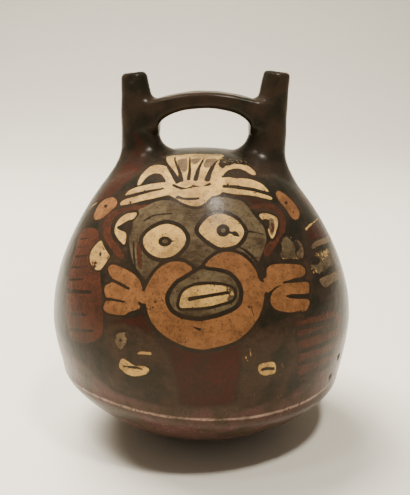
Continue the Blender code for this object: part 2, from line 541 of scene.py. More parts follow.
@dataclass
class PhotoView:
    """The camera of the photograph, which also carries a spot of the picture onto the clay."""

    width: int = 410
    height: int = 495
    focal: float = 799.0
    pitch: float = 14.66
    place: tuple[float, float, float] = (1.95, -390.0, 195.0)
    sensor: float = 36.0
    nearest: float = 285.0
    farthest: float = 430.0
    looks: int = 581

    def rays(self, spots: Array) -> Array:
        """Give the direction in which the camera sees each spot of the picture.

        Args:
            spots: The spots, in the photograph's pixels.

        Returns:
            The directions, of length one.
        """
        turn = math.radians(self.pitch)
        ahead = np.array([0.0, math.cos(turn), -math.sin(turn)])
        up = np.array([0.0, math.sin(turn), math.cos(turn)])
        across = (spots[:, 0] - self.width / 2) / self.focal
        rise = (self.height / 2 - spots[:, 1]) / self.focal
        lines = ahead + across[:, None] * np.array([1.0, 0.0, 0.0]) + rise[:, None] * up
        return lines / np.linalg.norm(lines, axis=1)[:, None]

    def land(self, spots: Points | Array, form: Callable[[Array], Array]) -> Array:
        """Carry spots of the picture onto a form.

        Args:
            spots: The spots, in the photograph's pixels.
            form: The form's distance function.

        Returns:
            The first place of the form in the line of each spot, or the nearest one that the line passes.
        """
        lines = self.rays(np.array(spots, float))
        reaches = np.linspace(self.nearest, self.farthest, self.looks)
        places = np.array(self.place) + lines[:, None, :] * reaches[None, :, None]
        gaps = form(places.reshape(-1, 3)).reshape(len(lines), -1)
        struck = gaps < 0.0
        first = np.where(struck.any(1), struck.argmax(1), gaps.argmin(1))
        first = np.maximum(first, 1)
        rows = np.arange(len(lines))
        before, after = gaps[rows, first - 1], gaps[rows, first]
        share = np.where(after < 0.0, before / np.maximum(before - after, TINY), 1.0)
        reach = reaches[first - 1] + (reaches[first] - reaches[first - 1]) * np.clip(share, 0.0, 1.0)
        return np.array(self.place) + lines * reach[:, None]

    def set_camera(self) -> None:
        """Put the scene's camera where the photograph was taken from."""
        data = bpy.data.cameras.new("photo_view")
        data.sensor_fit = "AUTO"
        data.sensor_width = self.sensor
        data.lens = self.focal / max(self.width, self.height) * self.sensor
        data.clip_start = 0.01
        data.clip_end = 20.0
        camera = bpy.data.objects.new("photo_view", data)
        camera.location = Vector(self.place) * MM
        camera.rotation_euler = (math.radians(90.0 - self.pitch), 0.0, 0.0)
        bpy.context.scene.collection.objects.link(camera)
        bpy.context.scene.camera = camera


class Chart:
    """A flat map of the body on which a small shape keeps its form.

    Across is the way round the body and up is the way to the crown, both in millimetres at the widest ring.
    """

    least_radius: float = 2.0
    least_scale: float = 0.02

    def __init__(self, body: Body) -> None:
        """Work out the map's heights along the profile.

        Args:
            body: The vase's body.
        """
        self.body = body
        self.middle = body.height / 2
        line = body.profile[:-1]
        middles = (line[1:] + line[:-1]) / 2
        lengths = np.linalg.norm(np.diff(line, axis=0), axis=1)
        turns = lengths / np.maximum(middles[:, 0], self.least_radius)
        heights = np.concatenate([[0.0], np.cumsum(turns)]) * body.radius
        self.angles = np.arctan2(line[:, 1] - self.middle, line[:, 0])
        self.radii = line[:, 0]
        widest = math.atan2(body.height * body.widest_share - self.middle, body.radius)
        self.heights = heights - np.interp(widest, self.angles, heights)

    def spread(self, places: Array) -> tuple[Array, Array]:
        """Lay places of the body out on the chart.

        Args:
            places: Places on or near the body.

        Returns:
            Their places on the chart, and the real length of a millimetre of the chart at each.
        """
        x, y, z = self.body.straighten(places).T
        angle = np.arctan2(z - self.middle, np.hypot(x, y))
        across = np.arctan2(x, -y) * self.body.radius
        up = np.interp(angle, self.angles, self.heights)
        scale = np.interp(angle, self.angles, self.radii) / self.body.radius
        return np.stack([across, up], 1), np.maximum(scale, self.least_scale)


# The painted coats


class Slip(Enum):
    """The coloured coats, from the first laid on to the last, and the places where they are rubbed."""

    # The mauve coat low on the body is partly a painted reflection of the floor.
    MAUVE = 1
    RUSSET = 2
    SHADE = 3
    RING = 4
    RED = 5
    TAN = 6
    GREY = 7
    ORANGE = 8
    CREAM = 9
    LINE = 10
    RUBBED = 11

    @property
    def layer(self) -> str:
        """The name of the mesh layer that holds this coat's distances."""
        return f"slip_{self.name.lower()}"


@dataclass(frozen=True)
class Patch:
    """A filled shape of one coat.

    Attributes:
        slip: The coat.
        outline: Spots round its edge.
        rounded: Whether the edge runs smoothly through the spots.
        drawn_on_chart: Whether the spots are on the chart, and not in the photograph.
        grown: How far the edge is moved out, in millimetres.
    """

    slip: Slip
    outline: Points
    rounded: bool = True
    drawn_on_chart: bool = False
    grown: float = 0.0


@dataclass(frozen=True)
class Stroke:
    """A brush stroke of one coat.

    Attributes:
        slip: The coat.
        line: Spots along its middle.
        width: Its width in millimetres where it starts.
        end_width: Its width where it ends, or nothing where it stays the same.
        drawn_on_chart: Whether the spots are on the chart, and not in the photograph.
    """

    slip: Slip
    line: Points
    width: float
    end_width: float | None = None
    drawn_on_chart: bool = False


Shape = Patch | Stroke


def oval(
    middle: tuple[float, float], across: float, up: float, tilt: float = 0.0, count: int = 16
) -> Points:
    """Give spots round an oval.

    Args:
        middle: Its middle.
        across: Half its width.
        up: Half its height.
        tilt: Its turn, in degrees.
        count: How many spots.

    Returns:
        The spots.
    """
    turn = np.linspace(0.0, 2 * math.pi, count, endpoint=False)
    lean = math.radians(tilt)
    x, y = across * np.cos(turn), up * np.sin(turn)
    xs = middle[0] + x * math.cos(lean) - y * math.sin(lean)
    ys = middle[1] + x * math.sin(lean) + y * math.cos(lean)
    return tuple(zip(xs.tolist(), ys.tolist()))


def ringed(slip: Slip, outline: Points, width: float) -> list[Shape]:
    """Give a filled shape with a dark line round it."""
    return [Patch(Slip.LINE, outline, grown=width), Patch(slip, outline)]


def lined(slip: Slip, outline: Points, width: float) -> list[Shape]:
    """Give a dark shape with a fill inside it that leaves a line along its edge."""
    return [Patch(Slip.LINE, outline), Patch(slip, outline, grown=-width)]


class Painter:
    """Lays the shapes on the mesh, in order, as distances to the edge of each coat."""

    margin: float = 3.0
    reach: float = 9.0
    skin_depth: float = 1.5

    def __init__(self, clay: Clay, view: PhotoView, places: Array) -> None:
        """Take the chart places of the mesh.

        Args:
            clay: The vase's form.
            view: The photograph's camera.
            places: The mesh's vertices.
        """
        self.clay = clay
        self.view = view
        self.chart = Chart(clay.body)
        self.spots, self.scale = self.chart.spread(places)
        self.bare = clay.body.distance(places) < -self.skin_depth
        self.coats = {slip: np.full(len(places), -self.margin) for slip in Slip}

    def _line(self, shape: Shape) -> Array:
        """Lay a shape's edge, or a stroke's middle, out on the chart.

        Args:
            shape: The shape.

        Returns:
            The line's points, with its smooth stretches drawn in.
        """
        closed = isinstance(shape, Patch)
        line = np.array(shape.outline if closed else shape.line, float)
        if not shape.drawn_on_chart:
            line = self.chart.spread(self.view.land(line, self.clay.body.distance))[0]
        smooth = shape.rounded if closed else len(line) > 2
        return curve_through(line, CURVE_STEPS, closed) if smooth else line

    def _depth(self, shape: Shape, line: Array, near: Array) -> Array:
        """Measure how deep inside a shape the vertices near it are.

        Args:
            shape: The shape.
            line: Its line on the chart.
            near: The numbers of the vertices.

        Returns:
            Their depths in real millimetres, below zero outside the shape.
        """
        places, scale = self.spots[near], self.scale[near]
        if isinstance(shape, Patch):
            depth = shape.grown - outline_distance(places, line) * scale
        else:
            end = shape.width if shape.end_width is None else shape.end_width
            halves = np.linspace(shape.width, end, len(line)) / 2
            depth = -line_distance(places, line, halves / np.median(scale)) * scale
        return np.clip(depth, -self.margin, self.margin)

    def lay(self, shape: Shape) -> None:
        """Lay one shape over what is there.

        Args:
            shape: The shape.
        """
        line = self._line(shape)
        low, high = line.min(0) - self.reach, line.max(0) + self.reach
        near = np.nonzero(((self.spots > low) & (self.spots < high)).all(1))[0]
        if not len(near):
            return
        depth = self._depth(shape, line, near)
        coat = self.coats[shape.slip]
        coat[near] = np.maximum(coat[near], depth)
        if shape.slip is Slip.RUBBED:
            return
        for slip in Slip:
            if slip.value > shape.slip.value and slip is not Slip.RUBBED:
                self.coats[slip][near] = np.minimum(self.coats[slip][near], -depth)

    def lay_all(self, shapes: Iterable[Shape]) -> None:
        """Lay shapes one after another."""
        for shape in shapes:
            self.lay(shape)

    def store(self, mesh: bpy.types.Mesh) -> None:
        """Keep the coats on the mesh.

        Args:
            mesh: The vase's mesh.
        """
        for slip, depths in self.coats.items():
            kept = np.where(self.bare, -self.margin, depths)
            layer = mesh.attributes.new(slip.layer, "FLOAT", "POINT")
            layer.data.foreach_set("value", kept.astype(np.float32))


@dataclass(frozen=True)
class Grounds:
    """The broad grounds: mauve low on the body, partly painted floor reflection, russet patches above it
    and the ring line.
    """

    ring_width: float = 1.2
    ring: Points = (
        (-236.0, -27.0), (-170.0, -28.6), (-120.0, -31.0), (-89.7, -32.1), (-76.0, -30.4), (-56.4, -29.2),
        (-27.1, -29.3), (0.0, -29.2), (25.4, -29.2), (41.7, -28.5), (57.7, -27.6), (74.0, -26.0),
        (87.0, -24.5), (120.0, -23.0), (170.0, -25.0), (236.0, -27.0),
    )

    def shapes(self) -> list[Shape]:
        """Give the grounds' shapes.

        Returns:
            The shapes, in the order in which they are laid.
        """
        # Where the mauve coat lies; its colour is partly a painted reflection of the floor.
        low = (
            (-240.0, -14.0), (-120.0, -9.0), (-84.0, -7.0), (-60.0, -12.0), (-42.0, -22.0), (-10.0, -22.5),
            (20.0, -21.0), (46.0, -20.0), (62.0, -15.0), (90.0, -8.0), (140.0, -12.0), (240.0, -14.0),
            (240.0, -260.0), (-240.0, -260.0),
        )
        between = (
            (170.0, 344.0), (186.0, 350.0), (214.0, 351.0), (236.0, 344.0), (243.0, 360.0), (238.0, 384.0),
            (232.0, 402.0), (205.0, 406.0), (182.0, 404.0), (177.0, 384.0), (170.0, 362.0),
        )
        shoulder = (
            (96.0, 200.0), (106.0, 186.0), (120.0, 172.0), (138.0, 162.0), (148.0, 158.0), (140.0, 170.0),
            (122.0, 186.0), (106.0, 198.0),
        )
        temple = (
            (232.0, 196.0), (246.0, 198.0), (262.0, 202.0), (272.0, 214.0), (262.0, 212.0), (250.0, 210.0),
        )
        side = (
            (300.0, 170.0), (318.0, 196.0), (328.0, 222.0), (316.0, 214.0), (300.0, 196.0), (290.0, 176.0),
        )
        below_left = (
            (112.0, 322.0), (128.0, 317.0), (146.0, 318.0), (150.0, 332.0), (136.0, 330.0), (118.0, 328.0),
        )
        return [
            # The mauve coat low on the body is partly a painted reflection of the floor.
            Patch(Slip.MAUVE, low, drawn_on_chart=True, rounded=False),
            *[Patch(Slip.RUSSET, place) for place in (between, shoulder, temple, side, below_left)],
            Stroke(Slip.RING, self.ring, self.ring_width, drawn_on_chart=True),
        ]


@dataclass(frozen=True)
class Headdress:
    """The feather fan, the two arches beside it and the long double bands."""

    def shapes(self) -> list[Shape]:
        """Give the headdress's shapes."""
        return [*self._bands(), *self._arches(), *self._fan(), *self._medallion()]

    def _bands(self) -> list[Shape]:
        """Give the bands on both sides.

        Returns:
            The shapes, in the order in which they are laid.
        """
        left_upper = (
            (125.2, 195.6), (129.2, 190.4), (139.1, 186.5), (150.9, 184.0), (166.8, 182.0), (175.0, 183.0),
            (172.0, 189.0), (162.8, 188.4), (149.0, 189.9), (133.2, 193.4),
        )
        left_lower = (
            (120.3, 205.0), (123.3, 200.3), (139.1, 195.4), (158.9, 190.4), (176.0, 188.0), (180.0, 199.0),
            (168.7, 195.4), (158.9, 196.8), (144.0, 200.3), (128.0, 204.0),
        )
        right_upper = (
            (213.0, 181.0), (223.7, 177.6), (234.5, 178.1), (250.4, 179.5), (262.2, 184.5), (268.8, 192.0),
            (264.2, 190.9), (250.4, 187.4), (234.5, 185.0), (222.0, 184.6),
        )
        right_lower = (
            (213.0, 190.0), (224.7, 187.9), (239.5, 189.4), (256.3, 192.4), (270.6, 196.8), (271.1, 199.8),
            (264.2, 198.3), (250.4, 195.4), (234.5, 193.9), (219.7, 191.4),
        )
        gaps = [
            Stroke(Slip.LINE, ((125.0, 196.6), (143.0, 192.2), (162.8, 188.5)), 1.4, 1.1),
            Stroke(Slip.LINE, ((225.1, 186.0), (248.0, 188.8), (270.0, 193.6)), 1.2, 1.5),
        ]
        fills = [Patch(Slip.CREAM, shape) for shape in (left_upper, left_lower, right_upper, right_lower)]
        return [*fills, *gaps]

    def _arches(self) -> list[Shape]:
        """Give the arch on the left and the rubbed one on the right.

        Returns:
            The shapes, in the order in which they are laid.
        """
        left = (
            (137.4, 184.8), (139.1, 179.0), (144.0, 171.6), (150.9, 166.2), (158.9, 164.7), (166.8, 166.7),
            (171.7, 172.6), (176.0, 182.0), (167.5, 183.0), (164.8, 178.6), (160.8, 174.1), (153.9, 173.1),
            (147.0, 176.6), (141.1, 183.5),
        )
        right = (
            (221.0, 172.0), (226.0, 166.0), (232.6, 163.7), (239.5, 162.7), (247.4, 165.7), (255.3, 172.6),
            (252.8, 175.1), (244.4, 170.6), (236.5, 168.5), (228.0, 170.5), (223.5, 175.5),
        )
        lens = (
            (223.2, 175.6), (227.6, 170.6), (234.5, 169.7), (242.5, 172.6), (254.3, 176.6), (266.0, 184.0),
            (254.0, 179.8), (240.0, 177.6), (230.0, 177.2),
        )
        smear = ((218.0, 163.0), (228.0, 158.0), (242.0, 159.5), (250.0, 165.0), (236.0, 163.5))
        worn = ((222.0, 156.0), (238.0, 156.0), (254.0, 165.0), (238.0, 164.0), (222.0, 165.0))
        return [
            Patch(Slip.CREAM, left),
            Patch(Slip.CREAM, right),
            Patch(Slip.LINE, lens),
            Patch(Slip.TAN, smear),
            Patch(Slip.RUBBED, worn),
        ]

    def _fan(self) -> list[Shape]:
        """Give the feathers and the lines between them.

        Returns:
            The shapes, in the order in which they are laid.
        """
        fan = (
            (166.5, 159.2), (168.7, 156.0), (180.0, 155.0), (195.0, 154.0), (219.7, 154.8), (226.0, 157.5),
            (220.0, 161.5), (218.5, 165.5), (224.0, 171.0), (221.0, 178.0), (222.0, 184.0), (222.0, 192.0),
            (214.0, 196.0), (195.0, 198.0), (178.0, 198.0), (170.0, 190.0), (168.0, 184.0), (179.0, 182.5),
            (174.5, 171.0),
        )
        beside = ((166.5, 163.0), (171.3, 171.5), (177.6, 181.5))
        dividers = [
            (((175.0, 157.4), (178.6, 169.0), (181.4, 180.4)), 1.4, 1.9),
            (((190.0, 157.4), (189.8, 168.0), (188.6, 179.4)), 1.2, 1.6),
            (((204.0, 158.4), (199.0, 168.0), (195.6, 179.6)), 1.3, 2.0),
            (((212.4, 167.0), (209.6, 173.0), (207.2, 179.6)), 2.2, 2.4),
            (((212.4, 167.0), (218.0, 160.5), (226.0, 156.4)), 1.2, 0.5),
        ]
        smiles = [
            (((173.4, 185.0), (179.0, 187.6), (186.0, 188.8), (191.8, 187.0)), 1.5, 1.1),
            (((193.0, 185.6), (198.5, 186.8), (204.5, 186.4), (210.0, 183.8)), 1.1, 1.4),
        ]
        cuts = [Stroke(Slip.LINE, line, width, end) for line, width, end in (*dividers, *smiles)]
        left_tint = ((178.0, 160.0), (187.0, 158.5), (187.5, 168.0), (184.0, 172.0), (180.0, 168.0))
        middle_tint = ((191.5, 159.0), (201.0, 158.4), (196.0, 164.0), (191.6, 163.0))
        right_tint = ((206.0, 160.0), (214.0, 158.6), (217.0, 160.5), (211.0, 166.5), (204.0, 167.0))
        tinted = [Patch(Slip.TAN, place) for place in (left_tint, middle_tint, right_tint)]
        return [Patch(Slip.CREAM, fan), *tinted, Stroke(Slip.LINE, beside, 1.6, 2.2), *cuts]

    def _medallion(self) -> list[Shape]:
        """Give the forehead medallion and the worn slit in it.

        Returns:
            The shapes, in the order in which they are laid.
        """
        medallion = (
            (168.7, 193.0), (176.0, 198.6), (181.6, 202.3), (191.5, 205.9), (198.4, 206.2), (204.3, 203.3),
            (208.5, 199.3), (213.8, 194.4), (220.0, 190.0), (208.0, 186.0), (185.0, 189.0),
        )
        slit = ((177.8, 196.9), (184.0, 198.6), (192.0, 198.8), (198.8, 198.3))
        rim = (
            (170.5, 197.0), (176.0, 200.5), (183.0, 205.0), (191.5, 208.2), (198.4, 208.4),
            (205.5, 205.0),
        )
        return [
            Stroke(Slip.LINE, rim, 0.8, 0.5),
            Patch(Slip.CREAM, medallion),
            Stroke(Slip.LINE, slit, 1.5, 1.1),
        ]


@dataclass(frozen=True)
class Face:
    """The grey face with its two large eyes."""

    edge_line: float = 1.4
    eye_line: float = 1.9

    def shapes(self) -> list[Shape]:
        """Give the face's shapes."""
        return [*self._field(), *self._eyes()]

    def _field(self) -> list[Shape]:
        """Give the grey field, its edge and the creases on it.

        Returns:
            The shapes, in the order in which they are laid.
        """
        edge = (
            (147.0, 205.0), (139.1, 209.2), (134.5, 215.0), (130.6, 224.0), (129.0, 238.9), (130.5, 252.0),
            (133.5, 264.0), (139.1, 271.6), (145.5, 279.5), (165.0, 290.0), (200.0, 290.0), (245.0, 280.0),
            (257.5, 264.0), (263.5, 250.0), (266.5, 239.5), (264.5, 228.5), (259.0, 221.0), (253.0, 214.0),
            (248.0, 206.5), (240.0, 200.2), (222.0, 197.0), (213.0, 198.6), (207.0, 204.6), (199.0, 208.6),
            (191.0, 208.4), (181.0, 204.6), (172.0, 200.6), (160.0, 200.4),
        )
        around = (
            (128.0, 208.0), (114.0, 226.0), (116.0, 246.0), (108.0, 262.0), (104.0, 280.0), (102.0, 300.0),
            (106.0, 316.0), (130.0, 318.0), (146.0, 312.0), (160.0, 334.0), (190.0, 351.0), (222.0, 350.0),
            (252.0, 334.0), (268.0, 308.0), (290.0, 316.0), (310.0, 314.0), (312.0, 290.0), (308.0, 262.0),
            (282.0, 260.0), (268.0, 258.0), (282.0, 232.0), (278.0, 212.0), (256.0, 206.0), (240.0, 198.0),
            (204.0, 207.0), (170.0, 198.0),
        )
        cheek = (
            (137.5, 243.5), (140.5, 243.0), (141.5, 255.0), (142.0, 268.0), (139.0, 268.0),
            (137.0, 256.0),
        )
        creases = [
            Stroke(Slip.LINE, ((144.0, 221.0), (150.0, 217.0), (158.0, 214.6), (172.0, 213.4)), 0.9, 0.7),
            Stroke(Slip.LINE, ((133.6, 242.5), (134.0, 255.0), (135.6, 268.0)), 1.0, 0.8),
            Stroke(Slip.LINE, ((246.0, 231.4), (254.0, 232.0), (262.5, 234.3)), 0.9, 0.6),
        ]
        return [
            Patch(Slip.SHADE, around),
            *ringed(Slip.GREY, edge, self.edge_line),
            Patch(Slip.RED, cheek),
            *creases,
        ]

    def _eyes(self) -> list[Shape]:
        """Give the two eyes.

        Returns:
            The shapes, in the order in which they are laid.
        """
        left = (
            (142.8, 240.5), (146.2, 234.0), (151.9, 229.2), (160.0, 225.2), (168.7, 224.0), (178.6, 227.4),
            (184.0, 233.0), (186.0, 239.5), (182.6, 247.6), (173.7, 255.4), (162.8, 258.1), (152.9, 255.4),
            (146.0, 249.4),
        )
        right = (
            (198.8, 229.7), (204.9, 220.2), (212.8, 214.9), (221.7, 213.6), (231.6, 217.0), (238.8, 222.2),
            (243.4, 228.7), (243.9, 233.6), (240.5, 240.0), (234.5, 245.2), (221.7, 247.4), (211.8, 242.9),
            (203.9, 236.8),
        )
        left_pupil = (164.9, 241.4)
        right_pupil = (223.1, 230.3)
        left_tail = ((169.0, 241.6), (173.0, 241.4), (176.5, 241.0))
        right_tail = ((228.0, 232.0), (232.0, 232.8), (234.0, 233.2))
        right_drop = oval((235.0, 233.6), 3.3, 2.5, 15.0)
        right_speck = oval((238.4, 235.6), 1.5, 1.2)
        return [
            *ringed(Slip.CREAM, left, self.eye_line),
            *ringed(Slip.CREAM, right, self.eye_line),
            Patch(Slip.LINE, oval(left_pupil, 6.8, 5.2)),
            Stroke(Slip.LINE, left_tail, 1.0, 0.25),
            Patch(Slip.GREY, oval(left_pupil, 2.6, 1.7)),
            Patch(Slip.LINE, oval(right_pupil, 6.9, 6.4)),
            Stroke(Slip.LINE, right_tail, 1.3, 1.0),
            Patch(Slip.LINE, right_drop),
            Patch(Slip.LINE, right_speck),
            Patch(Slip.GREY, oval(right_pupil, 2.0, 1.8)),
        ]


@dataclass(frozen=True)
class MouthMask:
    """The orange mouth mask with its two upturned lobes, the grey oval in it and the cream teeth."""

    edge_line: float = 1.6
    inner_line: float = 1.9
    tooth_line: float = 1.3

    def shapes(self) -> list[Shape]:
        """Give the mask's shapes.

        Returns:
            The shapes, in the order in which they are laid.
        """
        left = (
            (192.2, 269.4), (188.0, 264.6), (181.6, 261.9), (171.7, 261.7), (161.8, 266.0), (153.9, 274.0),
            (148.4, 283.0), (145.2, 291.0), (146.0, 304.8), (149.0, 316.6), (153.9, 325.7), (164.8, 336.0),
            (178.6, 343.8), (191.5, 348.2), (203.0, 349.6), (214.8, 347.6), (232.6, 342.4), (244.4, 334.8),
            (254.3, 324.0), (260.2, 313.9), (263.3, 303.8), (264.4, 294.9), (263.0, 286.0), (258.3, 277.5),
            (256.3, 271.2), (250.4, 262.9), (242.5, 256.0), (232.6, 252.2), (222.7, 252.2), (212.8, 257.0),
            (205.2, 265.0), (212.0, 267.2), (221.7, 268.4), (231.6, 272.2), (238.5, 279.1), (242.5, 287.0),
            (243.4, 294.9), (241.5, 303.8), (234.5, 310.7), (219.7, 316.8), (204.9, 320.3), (198.4, 321.1),
            (183.6, 319.1), (173.7, 314.5), (167.9, 308.5), (165.3, 300.8), (165.8, 294.4), (169.7, 287.0),
            (175.7, 280.1), (183.6, 275.3),
        )
        inner = (
            (165.3, 300.8), (165.8, 294.4), (169.7, 287.0), (175.7, 280.1), (183.6, 275.3), (194.0, 268.0),
            (204.0, 265.0), (221.7, 268.4), (231.6, 272.2), (238.5, 279.1), (242.5, 287.0), (243.4, 294.9),
            (241.5, 303.8), (234.5, 310.7), (219.7, 316.8), (204.9, 320.3), (198.4, 321.1), (183.6, 319.1),
            (173.7, 314.5), (167.9, 308.5),
        )
        left_join = ((137.0, 289.0), (143.0, 291.4), (152.0, 290.0), (152.0, 302.0), (140.0, 302.0))
        right_join = ((255.0, 279.0), (263.0, 282.2), (270.0, 281.0), (267.5, 290.5), (257.0, 296.0))
        return [
            *lined(Slip.GREY, inner, self.inner_line),
            *ringed(Slip.ORANGE, left, self.edge_line),
            Patch(Slip.ORANGE, left_join),
            Patch(Slip.ORANGE, right_join),
            *self._teeth(),
            *self._marks(),
        ]

    def _teeth(self) -> list[Shape]:
        """Give the cream bar of the mouth with the dark slit along it.

        Returns:
            The shapes, in the order in which they are laid.
        """
        bar = (
            (180.2, 307.3), (180.3, 299.0), (184.0, 291.5), (193.0, 286.4), (203.3, 284.9), (214.8, 284.8),
            (225.6, 286.2), (232.4, 289.2), (234.2, 294.2), (232.0, 299.2), (226.0, 301.6), (214.8, 304.9),
            (203.0, 307.0), (190.0, 307.6),
        )
        slit = ((189.8, 299.0), (208.0, 295.8), (228.0, 292.4))
        worn_end = oval((229.5, 294.0), 5.0, 5.5)
        return [
            *ringed(Slip.CREAM, bar, self.tooth_line),
            Stroke(Slip.LINE, slit, 1.7, 1.5),
            Patch(Slip.RUBBED, worn_end),
        ]

    @staticmethod
    def _marks() -> list[Shape]:
        """Give the dark line under the right eye, the crack in the mask and the pits.

        Returns:
            The shapes, in the order in which they are laid.
        """
        brow = ((236.0, 246.0), (244.0, 249.5), (251.0, 255.0), (258.5, 264.5), (262.5, 274.5))
        crack = ((251.0, 304.8), (252.0, 310.0), (253.6, 315.0), (254.8, 324.4))
        large_pit = oval((155.4, 301.8), 1.3, 1.6)
        small_pit = oval((152.9, 307.3), 0.9, 1.0)
        scratch = ((192.0, 326.0), (196.4, 328.4), (200.0, 329.5))
        return [
            Stroke(Slip.LINE, brow, 0.8, 2.0),
            Stroke(Slip.LINE, crack, 0.5, 0.3),
            Patch(Slip.LINE, large_pit),
            Patch(Slip.LINE, small_pit),
            Stroke(Slip.LINE, scratch, 0.5, 1.1),
        ]


@dataclass(frozen=True)
class Hands:
    """The two three-fingered hands beside the mask."""

    edge_line: float = 1.2

    def shapes(self) -> list[Shape]:
        """Give the shapes of both hands.

        Returns:
            The shapes, in the order in which they are laid.
        """
        left = (
            (108.2, 268.4), (110.0, 265.6), (113.8, 264.6), (123.3, 268.0), (133.2, 273.4), (139.8, 280.6),
            (142.5, 288.0), (147.0, 291.0), (148.0, 303.0), (143.0, 303.6), (140.0, 303.2), (139.6, 308.4),
            (129.5, 311.8), (123.3, 315.2), (112.0, 314.0), (105.8, 312.0), (103.3, 307.8), (104.8, 303.2),
            (107.0, 299.0), (105.4, 295.6), (104.2, 290.0), (105.8, 285.2), (109.8, 283.4), (113.0, 280.0),
            (109.4, 274.0),
        )
        right = (
            (262.0, 281.0), (266.6, 276.5), (266.9, 269.0), (272.1, 264.7), (284.0, 263.7), (298.8, 264.6),
            (304.5, 268.0), (305.3, 273.2), (301.8, 276.8), (293.0, 278.8), (285.0, 282.8), (295.0, 282.6),
            (306.7, 281.8), (309.2, 285.0), (308.9, 291.9), (305.7, 293.8), (290.0, 294.4), (290.0, 298.2),
            (308.0, 299.4), (309.0, 306.0), (306.5, 310.8), (288.9, 312.4), (277.0, 309.9), (271.6, 304.8),
            (270.6, 298.0), (273.0, 291.0), (270.0, 291.5), (265.5, 296.5), (262.0, 294.0),
        )
        left_upper_gap = ((107.0, 277.8), (117.0, 282.4), (128.6, 288.4))
        left_lower_gap = ((105.0, 298.8), (114.0, 299.8), (124.6, 302.0))
        left_wrist = ((139.6, 303.0), (142.6, 307.4), (145.4, 313.0))
        right_upper_gap = ((284.0, 282.4), (294.0, 280.9), (305.0, 279.4))
        right_lower_gap = ((286.5, 296.0), (296.0, 296.6), (308.0, 296.2))
        right_thumb = ((281.0, 285.5), (275.0, 288.5), (268.5, 295.0))
        return [
            *ringed(Slip.ORANGE, left, self.edge_line),
            Stroke(Slip.LINE, left_upper_gap, 1.7, 1.35),
            Stroke(Slip.LINE, left_lower_gap, 1.4, 0.9),
            Stroke(Slip.LINE, left_wrist, 1.4, 1.6),
            *ringed(Slip.ORANGE, right, self.edge_line),
            Stroke(Slip.LINE, right_upper_gap, 1.0, 1.3),
            Stroke(Slip.LINE, right_lower_gap, 1.1, 1.4),
            Stroke(Slip.LINE, right_thumb, 0.5, 1.4),
        ]


